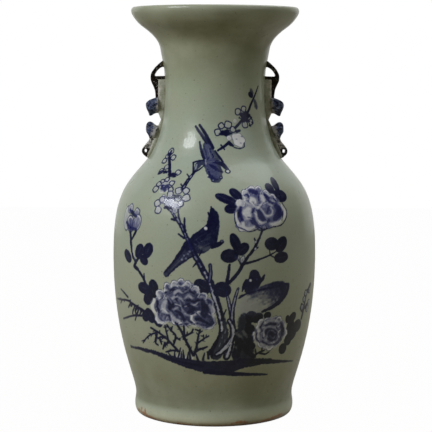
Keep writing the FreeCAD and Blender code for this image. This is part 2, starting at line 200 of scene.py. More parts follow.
def soft_lamp(name, place, width, tall, power, colour):
    lamp = bpy.data.objects.new(name, bpy.data.lights.new(name, "AREA"))
    bpy.context.scene.collection.objects.link(lamp)
    lamp.data.shape = "ELLIPSE"
    lamp.data.size, lamp.data.size_y = width, tall
    lamp.data.energy = power
    lamp.data.color = linear(colour)[:3]
    lamp.location = place
    lamp.rotation_euler = (lamp.location - LAMP_AIM).to_track_quat("Z", "Y").to_euler()
    print(name, "lamp:", power, "W from", round((lamp.location - LAMP_AIM).length, 2), "m away")


soft_lamp("key", (-2.16, -1.55, 2.0), 1.4, 0.75, 71, "#f6faff")
soft_lamp("fill", (2.6, -1.6, 1.4), 2.4, 2.4, 10, "#f2f5ff")
soft_lamp("top", (0.9, 0.7, 2.9), 2.8, 2.8, 62, "#f6faff")

# %% [markdown]
# The wall was thrown in sections on a wheel, luted together and glazed as one, so the glaze hides
# the joints. It is made here as one skin: an outline turned round the axis. The outline repeats the
# measured model's own curves, and each is a cubic span between two joints of the wall. The skin
# follows every joint radius and level of the model, so it stands exactly where the model stands.

# %% The wall's outline
FOOT_TOP, BELLY_LEVEL, SHOULDER_TOP = 28.0, 228.0, 362.4
THROAT_LEVEL, NECK_TOP, FLARE_LEVEL = 463.0, 522.0, 552.4
LIP_LEVEL, RIM = 574.0, 580.0
LOWER, UPPER, NECK = BELLY_LEVEL - FOOT_TOP, SHOULDER_TOP - BELLY_LEVEL, NECK_TOP - SHOULDER_TOP
RISE, CLIMB = THROAT_LEVEL - SHOULDER_TOP, FLARE_LEVEL - NECK_TOP
OUTER_RADII = {"foot": 112.8, "belly": 145.1, "shoulder": 98.5, "throat": 71.2, "mouth": 77.9,
               "flare": 102.5, "lip": 119.2}
WALL_WIDTHS = {"foot": 10.0, "belly": 8.0, "shoulder": 10.5, "throat": 8.0, "mouth": 7.5,
               "flare": 10.0, "lip": 6.5}
SHOULDER_LEAN, MOUTH_LEAN, FLARE_LEAN = -0.84, 0.18, 1.37


def cubic(poles, count=64):
    t = np.linspace(0, 1, count)[:, None]
    a, b, c, d = np.array(poles, float)
    return (1 - t) ** 3 * a + 3 * (1 - t) ** 2 * t * b + 3 * (1 - t) * t ** 2 * c + t ** 3 * d


def along(point, lean, step):
    return (point[0] + step * lean, point[1] + step)


def wall_line(inset):
    """Radius and level in mm from the foot joint to the lip, outside at inset 0, inside at 1."""
    r = {name: OUTER_RADII[name] - inset * WALL_WIDTHS[name] for name in OUTER_RADII}
    foot, belly = (r["foot"], FOOT_TOP), (r["belly"], BELLY_LEVEL)
    shoulder, throat = (r["shoulder"], SHOULDER_TOP), (r["throat"], THROAT_LEVEL)
    mouth, flare, lip = (r["mouth"], NECK_TOP), (r["flare"], FLARE_LEVEL), (r["lip"], LIP_LEVEL)
    spans = [
        [foot, (foot[0], foot[1] + 0.12 * LOWER), (belly[0], belly[1] - 0.615 * LOWER), belly],
        [belly, (belly[0], belly[1] + 0.662 * UPPER),
         along(shoulder, SHOULDER_LEAN, -0.25 * UPPER), shoulder],
        [shoulder, along(shoulder, SHOULDER_LEAN, 0.077 * RISE),
         (throat[0], throat[1] - 0.644 * RISE), throat],
        [throat, (throat[0], throat[1] + 0.2 * NECK), along(mouth, MOUTH_LEAN, -0.158 * NECK), mouth],
        [mouth, along(mouth, MOUTH_LEAN, 0.408 * CLIMB), along(flare, FLARE_LEAN, -0.319 * CLIMB),
         flare],
        [flare, along(flare, FLARE_LEAN, 0.234 * CLIMB), (lip[0], lip[1] - 0.12 * CLIMB), lip],
    ]
    return np.vstack([cubic(span)[:-1] for span in spans] + [np.array([lip])])


def evenly(line, spacing):
    """The same line with its points a steady step apart."""
    steps = np.hypot(*np.diff(line, axis=0).T)
    run = np.concatenate([[0], np.cumsum(steps)])
    count = max(2, int(round(run[-1] / spacing)) + 1)
    want = np.linspace(0, run[-1], count)
    return np.column_stack([np.interp(want, run, line[:, k]) for k in (0, 1)])


print("wall's line, outside and inside:", len(wall_line(0)), "points each")

# %% [markdown]
# Below the wall stands the foot, which swells a little above its resting ring. At the top the lip is
# rolled into a bead. Both are pairs of the same cubic spans, tied to the ends of the wall's own line,
# so that no step shows where they meet.

# %% The outlines of the foot and the lip
REST, BULGE = (108.5, 0.0), (114.2, 13.0)
REST_WIDTH, RING_FLARE, LEDGE_LEVEL, LEDGE_DEPTH, BASE_THICKNESS = 14.0, 3.0, 14.0, 6.0, 8.0
outer_line = wall_line(0)
inner_line = wall_line(1)
foot_joint = tuple(outer_line[0])
bulge_rise = FOOT_TOP - BULGE[1]
foot_line = np.vstack([
    cubic([REST, (REST[0] + 0.6 * (BULGE[0] - REST[0]), 0.06 * BULGE[1]),
           (BULGE[0], 0.46 * BULGE[1]), BULGE])[:-1],
    cubic([BULGE, (BULGE[0], BULGE[1] + 0.4 * bulge_rise),
           (foot_joint[0], foot_joint[1] - 0.4 * bulge_rise), foot_joint])[:-1],
])
lip_out, lip_in = tuple(outer_line[-1]), tuple(inner_line[-1])
crown = (lip_out[0] - 0.55 * WALL_WIDTHS["lip"], RIM)
roll = RIM - LIP_LEVEL
lip_line = np.vstack([
    cubic([lip_out, (lip_out[0], LIP_LEVEL + 0.6 * roll), (crown[0] + 0.3 * WALL_WIDTHS["lip"], RIM),
           crown], 12)[:-1],
    cubic([crown, (crown[0] - 0.3 * WALL_WIDTHS["lip"], RIM), (lip_in[0], LIP_LEVEL + 0.6 * roll),
           lip_in], 12),
])


def radius_at(level):
    return np.interp(level, outer_line[:, 1], outer_line[:, 0])


print("belly radius in mm", round(float(radius_at(BELLY_LEVEL)), 1))

# %% [markdown]
# The painting needs a fine skin where the brush worked and a coarse one elsewhere. So the skin is a
# grid: its rows climb the wall, its columns go round it, and both are close together on the front.
# Each row knows how far it has climbed along the wall, so a distance on the grid is a true distance
# on the glaze, and a brush stroke keeps its width where the wall curves away.

# %% The skin's rows and columns
GRAIN = 0.95
PLAIN_STEP, FOOT_STEP, LIP_STEP, INSIDE_STEP = 1.6, 1.4, 1.2, 6.0
FRONT_HALF_ANGLE = math.radians(84)
BACK_STEP = math.radians(2.4)
PAINTED_LEVELS = (56.0, 502.0)


def rows_between(line, low, high, spacing):
    keep = (line[:, 1] >= low) & (line[:, 1] <= high)
    ends = [[np.interp(level, line[:, 1], line[:, 0]), level] for level in (low, high)]
    return evenly(np.vstack([ends[0], line[keep], ends[1]]), spacing)


outside = np.vstack([
    evenly(foot_line, FOOT_STEP)[:-1],
    rows_between(outer_line, FOOT_TOP, PAINTED_LEVELS[0], PLAIN_STEP)[:-1],
    rows_between(outer_line, *PAINTED_LEVELS, GRAIN)[:-1],
    rows_between(outer_line, PAINTED_LEVELS[1], LIP_LEVEL, PLAIN_STEP),
])
rest_in = (REST[0] - REST_WIDTH, 0.0)
ledge_in = (rest_in[0] - RING_FLARE, LEDGE_LEVEL)
ledge_out = (ledge_in[0] + LEDGE_DEPTH, LEDGE_LEVEL)
seat = (ledge_out[0], LEDGE_LEVEL + BASE_THICKNESS)
inside = np.vstack([
    evenly(lip_line, LIP_STEP)[1:],
    evenly(inner_line[::-1], INSIDE_STEP)[1:],
    np.array([seat, ledge_out, ledge_in]),
    evenly(np.array([ledge_in, rest_in]), 5.0)[1:],
    evenly(np.array([rest_in, REST]), 2.0)[1:-1],
])
outline = np.vstack([outside, inside])
row_count = len(outside)
row_radius, row_level = outside[:, 0], outside[:, 1]
row_run = np.concatenate([[0], np.cumsum(np.hypot(*np.diff(outside, axis=0).T))])
front_count = int(round(2 * FRONT_HALF_ANGLE * OUTER_RADII["belly"] / GRAIN))
front_angles = np.linspace(-FRONT_HALF_ANGLE, FRONT_HALF_ANGLE, front_count)
back_count = int(round((2 * math.pi - 2 * FRONT_HALF_ANGLE) / BACK_STEP))
back_angles = np.linspace(FRONT_HALF_ANGLE, 2 * math.pi - FRONT_HALF_ANGLE, back_count + 1)[1:-1]
angles = np.concatenate([front_angles, back_angles])
print("rows", len(outline), "of them outside", row_count, "columns", len(angles))

# %% [markdown]
# The painter's marks are read off the photograph as pixels. Each pixel is one ray from the eye, and
# the mark lies where that ray first meets the wall. What comes back is an angle round the wall from
# its front and a distance run up the wall, which are the two directions of the grid.

# %% From the photograph to the wall
eye = np.array(camera.matrix_world.translation) / MM
eye_turn = np.array(camera.matrix_world.to_3x3())
RAY_NEAR, RAY_FAR, RAY_STEPS = 1900.0, 2500.0, 1201


def on_wall(pixels):
    pixels = np.atleast_2d(np.array(pixels, float))
    across = (pixels[:, 0] - OPTICAL_PX[0]) / FOCAL_PX
    down = (pixels[:, 1] - OPTICAL_PX[1]) / FOCAL_PX
    rays = np.column_stack([across, -down, -np.ones(len(pixels))]) @ eye_turn.T
    reach = np.linspace(RAY_NEAR, RAY_FAR, RAY_STEPS)
    x, y, z = (eye[k] + rays[:, k, None] * reach for k in range(3))
    gap = np.hypot(x, y) - radius_at(z)
    inside_wall = gap < 0
    first = np.where(inside_wall.any(axis=1), inside_wall.argmax(axis=1), gap.argmin(axis=1))
    pick = np.arange(len(pixels))
    before = np.maximum(first - 1, 0)
    step = np.clip(gap[pick, before] / np.maximum(gap[pick, before] - gap[pick, first], 1e-9), 0, 1)
    hit = [axis[pick, before] + step * (axis[pick, first] - axis[pick, before]) for axis in (x, y, z)]
    return np.arctan2(hit[0], -hit[1]), np.interp(hit[2], row_level, row_run)


BELLY_FRONT_PX = (214.0, 258.0)
angle, run = on_wall([BELLY_FRONT_PX])
print("belly front: angle in degrees", round(math.degrees(angle[0]), 1), "level in mm",
      round(float(np.interp(run[0], row_run, row_level)), 1))

# %% [markdown]
# A painter of blue and white has two pots: white slip, laid thick enough to stand a little proud, and
# cobalt, which is a thin wash at one strength and near black at another. Both are kept here as how
# much of each lies on every point of the skin, and so are the rust at the foot and where the cobalt is
# greyer.
# Dry bristle and bleeding glaze make every edge uneven, which is soft noise on the same points.

# %% Paint layers
rng = np.random.default_rng(7)
paint = {name: np.zeros((row_count, front_count)) for name in ("slip", "cobalt", "rust", "greying")}


def uneven(spacing):
    """Soft noise from -1 to 1 on the grid, with patches about spacing millimetres wide."""
    tall, wide = (int(side * GRAIN / spacing) + 3 for side in paint["slip"].shape)
    knots = rng.uniform(-1, 1, (tall, wide))
    up = np.linspace(0, tall - 1.001, row_count)
    across = np.linspace(0, wide - 1.001, front_count)
    low, left = up.astype(int), across.astype(int)
    share_up, share_across = (up - low)[:, None], (across - left)[None, :]
    share_up, share_across = (s * s * (3 - 2 * s) for s in (share_up, share_across))
    below = knots[low][:, left] * (1 - share_across) + knots[low][:, left + 1] * share_across
    above = knots[low + 1][:, left] * (1 - share_across) + knots[low + 1][:, left + 1] * share_across
    return below * (1 - share_up) + above * share_up


bristle = 0.6 * uneven(2.2) + 0.4 * uneven(6.0)
bleed = 0.5 * uneven(3.0) + 0.5 * uneven(9.0)
print("paint grid", paint["slip"].shape, "points")

# %% [markdown]
# A stroke is a flowing line through a few marks. Its row says where each mark lies across and down
# the photograph and how wide the brush is there, as half its width, all in pixels. A picture could
# be wrapped round the wall instead, but strokes stay sharp at any size and can be painted anew.

# %% Brush
PIXEL_ON_WALL = 1.34
LEAST_TURN = 0.35
SLIP_HIDES = 0.95


def window(phi, run, reach):
    """The rows and columns of the front that lie within reach mm of some points of the wall."""
    rows = slice(*np.searchsorted(row_run, [run.min() - reach, run.max() + reach]))
    turn = reach / row_radius[rows].min()
    cols = slice(*np.searchsorted(front_angles, [phi.min() - turn, phi.max() + turn]))
    return rows, cols


def lay(layer, rows, cols, cover):
    """Cobalt darkens what is there. Slip hides it, and so does wiping the brush's mark away."""
    if layer == "wipe":
        paint["cobalt"][rows, cols] *= 1 - cover
        return
    paint[layer][rows, cols] = np.maximum(paint[layer][rows, cols], cover)
    if layer == "slip":
        paint["cobalt"][rows, cols] *= 1 - SLIP_HIDES * cover


def flowing(marks, step=0.6):
    """A smooth line through a few marks."""
    marks = np.array(marks, float)
    if len(marks) < 3:
        count = max(2, int(np.hypot(*(marks[-1] - marks[0])) / step) + 1)
        return marks[0] + np.linspace(0, 1, count)[:, None] * (marks[-1] - marks[0])
    padded = np.vstack([2 * marks[0] - marks[1], marks, 2 * marks[-1] - marks[-2]])
    pieces = []
    for a, b, c, d in zip(padded, padded[1:], padded[2:], padded[3:]):
        t = np.linspace(0, 1, max(2, int(np.hypot(*(c - b)) / step) + 1))[:-1, None]
        pieces.append(0.5 * (2 * b + (c - a) * t + (2 * a - 5 * b + 4 * c - d) * t ** 2
                             + (3 * b - a - 3 * c + d) * t ** 3))
    return np.vstack(pieces + [marks[-1:]])


def foreshortened(phi):
    """How much wider a mark is on the wall than it looks, where the wall turns away from the eye."""
    return 1 / np.sqrt(np.clip(np.cos(phi), LEAST_TURN, 1))


def brush(layer, marks, widths, strength, soft=0.7, rough=0.35):
    """One stroke. widths are the brush's half widths in pixels, spread evenly along the stroke."""
    line = flowing(marks)
    phi, run = on_wall(line)
    places = np.linspace(0, 1, len(line))
    half = PIXEL_ON_WALL * np.interp(places, np.linspace(0, 1, len(widths)), widths)
    half *= foreshortened(phi)
    rows, cols = window(phi, run, half.max() + soft + rough)
    radius = row_radius[rows][:, None, None]
    across = (front_angles[cols][None, :, None] - phi) * radius
    up = row_run[rows][:, None, None] - run
    outside_by = (np.hypot(across, up) - half).min(axis=2) + rough * bristle[rows, cols]
    lay(layer, rows, cols, strength * np.clip(0.5 - outside_by / soft, 0, 1))


def marks_of(row):
    """The marks of a stroke's row, and the half widths at them."""
    marks = np.reshape(row, (-1, 3)).astype(float)
    return marks[:, :2], marks[:, 2]


def strokes(layer, strength, rows, soft=0.7, rough=0.35):
    for row in rows:
        brush(layer, *marks_of(row), strength, soft, rough)


rows, cols = window(*on_wall([BELLY_FRONT_PX]), 10)
print("20 mm of the belly:", rows.stop - rows.start, "rows,", cols.stop - cols.start, "columns")

# %% [markdown]
# A petal or a flower's heart is one press of a full brush. It could be many short strokes, but one
# rounded patch with a wavy rim keeps the wash, its veins and its outline together.

# %% Patches and petals
def patch(centre, reach, squash, turn, lobes, frill):
    """A rounded shape at a mark: how deep each point lies in it, and its place from base to tip.
    reach is its half length in pixels, squash its width to its length, turn its lean to the right."""
    phi, run = on_wall([centre])
    size = reach * PIXEL_ON_WALL * float(foreshortened(phi)[0])
    rows, cols = window(phi, run, size * 1.25)
    across = (front_angles[cols][None, :] - phi) * row_radius[rows][:, None]
    up = (row_run[rows][:, None] - run) * np.ones_like(across)
    sine, cosine = math.sin(math.radians(turn)), math.cos(math.radians(turn))
    tip, side = across * sine + up * cosine, (across * cosine - up * sine) / squash
    bearing = np.arctan2(side, tip)
    start = rng.uniform(0, 2 * math.pi, 2)
    waves = np.cos(lobes * bearing + start[0]) + 0.7 * np.cos(3 * bearing + start[1])
    depth = (size * (1 + frill * waves) - np.hypot(tip, side)) * min(1.0, squash)
    depth += 0.3 * bristle[rows, cols]
    return rows, cols, depth, tip / size, side / size


def petal(centre, reach, squash, turn, shade, lobes, frill, line, slip=1.0, line_width=0.75):
    """A petal: white slip, a blue wash that fades from its base to its rim, and a thin outline."""
    rows, cols, depth, tip, side = patch(centre, reach, squash, turn, lobes, frill)
    body = np.clip(0.5 + depth / 0.7, 0, 1)
    lay("slip", rows, cols, slip * body)
    veins = 0.14 * np.cos(13 * np.arctan2(side, tip + 1.5))
    rim = np.clip((depth - 0.5 - 2.2 * np.clip(tip, 0, 1) ** 2) / 1.5, 0, 1)
    fade = np.clip(0.86 - 0.42 * tip + veins + 0.3 * bleed[rows, cols], 0, 1)
    lay("cobalt", rows, cols, shade * body * rim * fade)
    lay("cobalt", rows, cols, line * np.clip(1.15 - np.abs(depth) / line_width, 0, 1))


print("patches and petals ready")

# %% [markdown]
# A few shapes come back all over the picture, and each has its own table further down. A petal's row
# is across, down, reach, squash, lean, then how strong the wash is, its lobes and their frill, and
# how strong the outline and the slip are. A bead is a petal too: a small round one in a ring.

# %% Petals, beads, leaves and twigs
TWIG_FULLNESS = 1.12


def petals(rows):
    for across, down, *look in rows:
        petal((across, down), *look)


def beads(rows, shade=0.08, line=1.0, slip=0.32):
    """Small round petals or berries, each as across, down and reach."""
    for across, down, reach in rows:
        petal((across, down), reach, 1, 0, shade, 4, 0.05, line, slip, 1.0)


def leaves(rows, fuller=1.0, dark=0.93, vein=0.35):
    """A full dark wash with a paler vein, from base to tip: across, down, across, down, half width."""
    profile = np.sqrt(np.clip(1 - np.linspace(-1, 0.96, 13) ** 2, 0, 1))
    for *ends, half_width in rows:
        base, tip = np.reshape(ends, (2, 2)).astype(float)
        inset = fuller * half_width * 0.6 * (tip - base) / np.hypot(*(tip - base))
        widths = fuller * half_width * (0.25 + 0.75 * profile)
        brush("cobalt", [base + inset * 0.4, tip - inset], widths, dark)
        brush("wipe", [base + inset, tip - inset], [0.35, 0.25], vein, soft=1.2)


def twigs(rows, dark=0.97):
    for row in rows:
        marks, widths = marks_of(row)
        brush("cobalt", marks, TWIG_FULLNESS * widths, dark)


def blossoms(flowers):
    """Prunus, ringed petals about a dark heart: across, down, reach, squash, dark, then its beads."""
    for across, down, reach, squash, dark, ring in flowers:
        beads(ring)
        rows, cols, depth, *_ = patch((across, down), reach, squash, 90, 5, 0.15)
        lay("cobalt", rows, cols, dark * np.clip(0.6 + depth / 1.5 + 0.3 * bleed[rows, cols], 0, 1))


def painted(layer="cobalt"):
    return f"{layer} on {100 * float((paint[layer] > 0.3).mean()):.2f} % of the front"


print("shapes ready,", painted())

# %% [markdown]
# The ground and the old prunus tree come first, as they would under the brush. The tree leans left
# as it climbs, and its bark is dark at both edges with slip left showing between.

# %% Paint the ground and the prunus
# the ground's long swell, its two tips and their dark lower edges
strokes("cobalt", 0.82, [
    (131, 346.5, 1, 154, 352.5, 2, 178, 361, 3.6, 203, 366.5, 6, 226, 367, 7.4, 246, 363, 4.8,
     270, 361, 2.4)], rough=1.2)
strokes("cobalt", 0.92, [(240, 361, 3.4, 268, 361.5, 2.4, 293, 361, 0.5)], rough=0.6)
strokes("cobalt", 0.92, [(205, 371.5, 2.8, 235, 374, 2.2, 267, 374.5, 0.8)], rough=0.5)
strokes("cobalt", 0.99, [
    (131, 346.5, 0.6, 154, 352.5, 1, 178, 361, 1.4, 203, 366.5, 1.5),
    (205, 371.5, 1.6, 235, 374, 1.4, 267, 374.5, 0.5)])
# the trunk, its wide foot and the foot's dark left edge
strokes("cobalt", 0.95, [
    (181, 225, 1.9, 187, 238, 2.4, 194, 253, 3, 200, 265, 3.1, 205, 274, 3.2, 210, 282, 3.3,
     214, 294, 3.5, 218, 306, 3.6, 221, 318, 3.8)], rough=1)
strokes("cobalt", 0.62, [(221, 316, 3.8, 223.5, 331, 4.6, 221, 343, 5.4, 216, 354, 6.6)], rough=1.8)
strokes("cobalt", 0.99, [(219, 320, 1.2, 220, 332, 1.4, 216, 343, 1.8, 209.5, 353.5, 2.4)], rough=1)
# slip left showing between the edges of the bark
strokes("slip", 0.9, [
    (204, 272, 0.5, 209.6, 283, 0.9, 213.4, 295, 1.1, 217.4, 307, 1.2, 220.8, 320, 1,
     222, 331, 0.6)], soft=1.3, rough=2)
strokes("slip", 0.7, [
    (184, 231, 0.5, 189, 243, 0.8, 195, 256, 0.9, 201, 267, 0.6)], soft=1.2, rough=1.5)
strokes("slip", 0.6, [
    (222, 338, 0.6, 222.8, 335, 0.3), (225, 333, 0.6, 225.8, 330, 0.3),
    (219.5, 346, 0.6, 220.3, 343, 0.3), (224.5, 342, 0.6, 225.3, 339, 0.3)])
# the two arms of the fork, each with its light side, and the side shoot
strokes("cobalt", 0.95, [(226.5, 292, 1.3, 229, 303, 1.8, 231.5, 316, 2.3, 233, 326, 2.6)], rough=0.5)
strokes("slip", 0.8, [(226.5, 292, 0.5, 229, 303, 0.8, 231.5, 316, 1, 233, 326, 0.9)], rough=0.8)
strokes("cobalt", 0.95, [(238, 288.5, 1.3, 235, 299, 1.8, 232.5, 310, 2.3, 232, 320, 2.6)], rough=0.5)
strokes("slip", 0.8, [(238, 288.5, 0.5, 235, 299, 0.8, 232.5, 310, 1, 232, 320, 0.9)], rough=0.8)
strokes("cobalt", 0.92, [(209.5, 281, 2.4, 210.5, 273, 2, 210.2, 265, 1.7)], rough=0.4)
strokes("slip", 0.6, [(209.5, 281, 0.9, 210.5, 273, 0.8, 210.2, 265, 0.5)], rough=0.4)
# the pale root in front, with its toe
strokes("cobalt", 0.97, [
    (229.5, 321, 2.6, 233, 328, 3.2, 232, 338, 3.4, 227, 346, 3.8, 221, 352, 3.6, 216.5, 354.5, 2.6),
    (231, 344, 3, 229, 351, 3.4, 226.5, 357, 3.6)], rough=0.5)
strokes("slip", 0.9, [
    (229.5, 321, 0.8, 233, 328, 1.4, 232, 338, 1.5, 227, 346, 1.7, 221, 352, 1.6, 216.5, 354.5, 1),
    (231, 344, 1, 229, 351, 1.5, 226.5, 357, 1.6)], soft=1.3, rough=1.2)
# lines in the root's bark
strokes("cobalt", 0.6, [
    (225.5, 350.5, 0.35, 224.25, 352, 0.45, 223, 353.5, 0.3),
    (231.5, 328, 0.35, 231.5, 338, 0.45, 227.5, 346, 0.3),
    (227.5, 351, 0.35, 226.5, 353.5, 0.45, 225.5, 356, 0.3)])
# stubs on the trunk, then the branches
twigs([
    (184, 238, 1.1, 178.5, 234, 0.5), (197, 262, 1.1, 193, 267, 0.5), (202, 250, 1.1, 199, 256, 0.5),
    (207, 290, 1.1, 203, 296, 0.5), (222, 318, 1.1, 226, 310, 0.5), (213, 350, 1.1, 207, 352, 0.5),
    (184.5, 231, 1.9, 180, 224, 1.6, 175, 217, 1.4, 171, 211, 1.23, 166.5, 207.5, 1),
    (185, 230, 0.9, 184.6, 224, 0.75, 184.5, 218, 0.6), (180, 223, 1, 178.6, 216, 0.8, 178, 209, 0.6),
    (182.5, 189, 2.1, 187.5, 181, 1.83, 191, 176.5, 1.5, 195, 171.5, 1.1),
    (176, 220, 1.2, 171.5, 219, 0.7), (193.2, 173, 0.8, 193.4, 162.5, 0.8),
    (184, 189, 0.9, 181, 184, 0.5), (190, 178, 0.8, 187, 174, 0.4)])
# light along the branches
strokes("slip", 0.75, [
    (169.5, 209.8, 0.75, 175, 216.5, 0.6), (177.5, 219, 0.75, 179.5, 222.5, 0.6),
    (181.5, 225.5, 0.75, 183.2, 230, 0.6), (184.6, 233, 0.75, 186.2, 237, 0.6),
    (183.6, 187.6, 0.75, 185, 185.6, 0.6), (187, 182, 0.75, 188.4, 180.2, 0.6),
    (190.2, 177.6, 0.75, 191.6, 175.8, 0.6)], soft=1, rough=0.8)
print("tree:", painted())

# %% [markdown]
# The blossoms are rings of white petals round a dark heart. Where they crowd, at the fork of the
# branches, the painter let the white run together and dotted the hearts in afterwards.

# %% Paint the blossoms
# the spray at the left
twigs([(171.5, 151, 1, 169.5, 156, 1.2, 169.6, 166, 1.33, 169.8, 176, 1.4)])
blossoms([
    (172.5, 175, 4.2, 0.6, 0.95, [(171.3, 151.4, 3), (173.3, 157.6, 2.7), (167.3, 156.4, 2),
     (164.6, 160.8, 2.5), (166.8, 167, 2.6), (178, 172.6, 3), (161.5, 170.6, 2.3)])])
leaves([(163.5, 171, 157.5, 173.8, 2.1)], dark=0.85)
blossoms([(165.5, 172, 2.8, 0.55, 0.95, []), (169.6, 154.5, 2.4, 0.8, 0.95, [])])
# the cluster under it, on a faint wash
petals([(165.5, 185.5, 7.6, 0.85, 20, 0.16, 5, 0.12, 0, 0.6)])
blossoms([
    (165, 187.5, 5, 0.7, 0.72, [(159, 184, 2.6), (162.6, 181.2, 2.2), (167.2, 179.6, 2.4),
     (171.8, 183.2, 2.7), (155.6, 189, 3.1), (170.8, 189.4, 2.6)])])
# the crowded white over the fork
petals([
    (170, 203, 5.6, 0.9, 20, 0.34, 5, 0.1, 0.4, 0.8), (176, 206, 5, 0.9, 20, 0.34, 5, 0.1, 0.4, 0.8),
    (163, 199.5, 4.6, 0.9, 20, 0.34, 5, 0.1, 0.4, 0.8),
    (175, 210.5, 3, 0.9, 20, 0.34, 5, 0.1, 0.4, 0.8), (181, 203, 3.4, 0.9, 20, 0.34, 5, 0.1, 0.4, 0.8)])
beads([
    (178.6, 190.6, 3.5), (186.2, 190.8, 3.3), (186.5, 197.8, 3.7), (170.2, 194, 3.2),
    (157.4, 203.2, 3.2), (158, 210, 3.4), (162.4, 199.4, 3),
    (180.5, 204, 3)], shade=0.1, line=0.8, slip=0.62)
blossoms([(176.5, 197.6, 5.6, 0.5, 0.62, []), (168.6, 198, 2.6, 0.7, 0.6, [])])
beads([
    (173.5, 196.8, 0.9), (177.5, 198.6, 0.9), (180, 196.4, 0.9), (164, 186.6, 0.9),
    (167, 189, 0.9)], shade=0.2, line=0.4, slip=0.6)
# the upper branch
twigs([
    (165, 207.6, 1.2, 169, 206.8, 1.2, 171.5, 211, 1.2),
    (218, 150.5, 1, 224, 146.5, 1.15, 229, 142.5, 1.3), (221, 145, 0.7, 224.5, 149.5, 0.5),
    (229, 143, 1.8, 231, 144.5, 1.6, 233, 146, 0.9)])
twigs([
    (235, 128, 1.1, 240, 122.5, 1.16, 247, 113.5, 1.14, 251, 104, 0.96, 255, 95, 0.78,
     258, 86.5, 0.6)], 1)
# its first blossom, and the open white one with its stamens
blossoms([
    (225.5, 133, 6.2, 0.5, 0.95, [(217.8, 132.3, 3.4), (221.3, 125.8, 3), (228, 124.8, 3.7),
     (233, 129.5, 3)])])
petals([
    (238.5, 140, 7.4, 0.88, 150, 0.02, 5, 0.08, 0.3, 1), (229, 138, 2.6, 1, 0, 0.1, 0, 0, 0.2, 1),
    (235, 120.8, 2.2, 1, 0, 0.05, 0, 0, 0.1, 0.6)])
twigs([(234, 147.5, 0.45, 239.5, 148.5, 0.45, 244, 147, 0.45, 244.3, 143, 0.45)], 0.85)
twigs([(236.5, 131.5, 1.2, 239.5, 130.6, 1.1)])
twigs([
    (236, 139, 0.35, 237.2, 139.4, 0.3), (240, 143, 0.35, 241.2, 143.4, 0.3),
    (241, 136.5, 0.35, 242.2, 136.9, 0.3)], 0.5)
# its last blossom, with specks about the heart
blossoms([
    (245, 116.5, 5.6, 0.85, 0.95, [(238, 111.8, 3.2), (243.6, 109, 2.7), (245, 124.6, 3.2),
     (250.8, 121.8, 2.7)])])
twigs([
    (250.6, 117, 0.8, 251.6, 117.6, 0.6), (252, 122.4, 0.8, 253, 123, 0.6),
    (249.6, 125.4, 0.8, 250.6, 126, 0.6), (243, 121.5, 0.8, 244, 122.1, 0.6),
    (239.4, 117.8, 0.8, 240.4, 118.4, 0.6), (248.6, 120.6, 0.8, 249.6, 121.2, 0.6)])
# leaves at the tip, two of them blurred
leaves([(252.5, 96.5, 248.5, 92.5, 2.4)])
strokes("cobalt", 0.5, [(251, 90.5, 1.6, 252.5, 93.5, 1.2)], soft=2.2, rough=1.5)
strokes("cobalt", 0.5, [(254.6, 101, 1.5, 256.4, 107, 2)], soft=2.2, rough=1.6)
print("blossoms:", painted())

# %% [markdown]
# Three birds. Each is a few loaded strokes: a body and a head laid wet, long tail feathers pulled
# down in one go, and slip dots for the eye and the wing bars.

# %% Paint the upper bird
# two long tail feathers, split by a wiped line
strokes("cobalt", 0.9, [
    (195.8, 126.5, 1.2, 203, 137, 1.6, 210.5, 147, 2.1),
    (199.6, 125, 1.2, 206, 135, 1.6, 212.5, 148, 2.1)])
strokes("wipe", 0.45, [(198.6, 128.5, 0.4, 204.5, 138, 0.4, 209, 146, 0.4)], soft=0.9)
# its body and head: a blue wash over slip, darker at the edges
strokes("slip", 0.5, [(207.5, 147, 3.4, 209, 158, 5.6, 214, 175, 6.4)], soft=2.5)
strokes("cobalt", 0.5, [(207.5, 145, 4.6, 208.5, 153, 6.6, 212, 161, 8.2)], rough=1)
strokes("cobalt", 0.93, [(199.6, 142, 0.9, 201.5, 151, 1.5, 205, 161, 1.3)])
strokes("cobalt", 0.82, [(204, 146, 0.7, 206, 153, 0.9, 208, 160, 0.7)])
strokes("cobalt", 0.9, [
    (215, 151, 0.9, 218.5, 156, 1.2, 223, 162, 1), (217, 162, 2.4, 222.5, 164.5, 2.6, 227, 169, 1.9)])
strokes("cobalt", 0.56, [(211, 163, 8, 214.5, 172, 8.4, 216, 178, 6)], rough=0.9)
# feathers laid wet, then slip between them
strokes("cobalt", 0.86, [
    (208, 170, 1.2, 211, 177, 2, 218, 180, 1.6), (210, 165, 1.5, 216, 169, 2.2, 222, 172, 1.4),
    (214, 162, 1, 219, 163, 1.4), (205, 150, 1, 208, 158, 1.3),
    (210, 148, 1, 214, 158, 1.4)], soft=2.4, rough=2.4)
strokes("slip", 0.42, [
    (205, 150, 0.3, 207.5, 158, 0.35), (208, 149, 0.3, 211, 158, 0.35),
    (211.5, 150, 0.3, 215, 158, 0.35), (206, 163, 0.3, 213, 161.5, 0.32, 221, 161.5, 0.35)])
# the beak's drop and both eyes
beads([(227.8, 171.4, 2.3)], shade=0, line=0.95, slip=0.55)
beads([(213, 180.3, 1.5), (221, 177.6, 1.5)], shade=0.35, line=0.97, slip=0.5)
# the second wing and the twigs it holds
strokes("slip", 0.8, [(205.4, 159.8, 0.6, 206, 164.5, 0.5)])
strokes("cobalt", 0.62, [(203, 163, 2.6, 199, 164, 3.4, 195.5, 170, 1.6)], rough=0.7)
strokes("slip", 0.6, [(196.5, 165, 1.1, 195.5, 169, 0.9)])
twigs([
    (193.5, 162.5, 0.8, 198, 161, 0.85, 203.5, 160.5, 0.9),
    (194, 172.5, 0.8, 200, 169, 0.7, 204.5, 165, 0.6)])
print("upper bird:", painted())

# %% [markdown]
# The lower bird sits across the tree with its long tail down to the left. Its blue is laid wet, and
# the feathers are wiped out of it, because a pale line drawn on top would look like slip. The small
# bird is only half seen behind the rock.

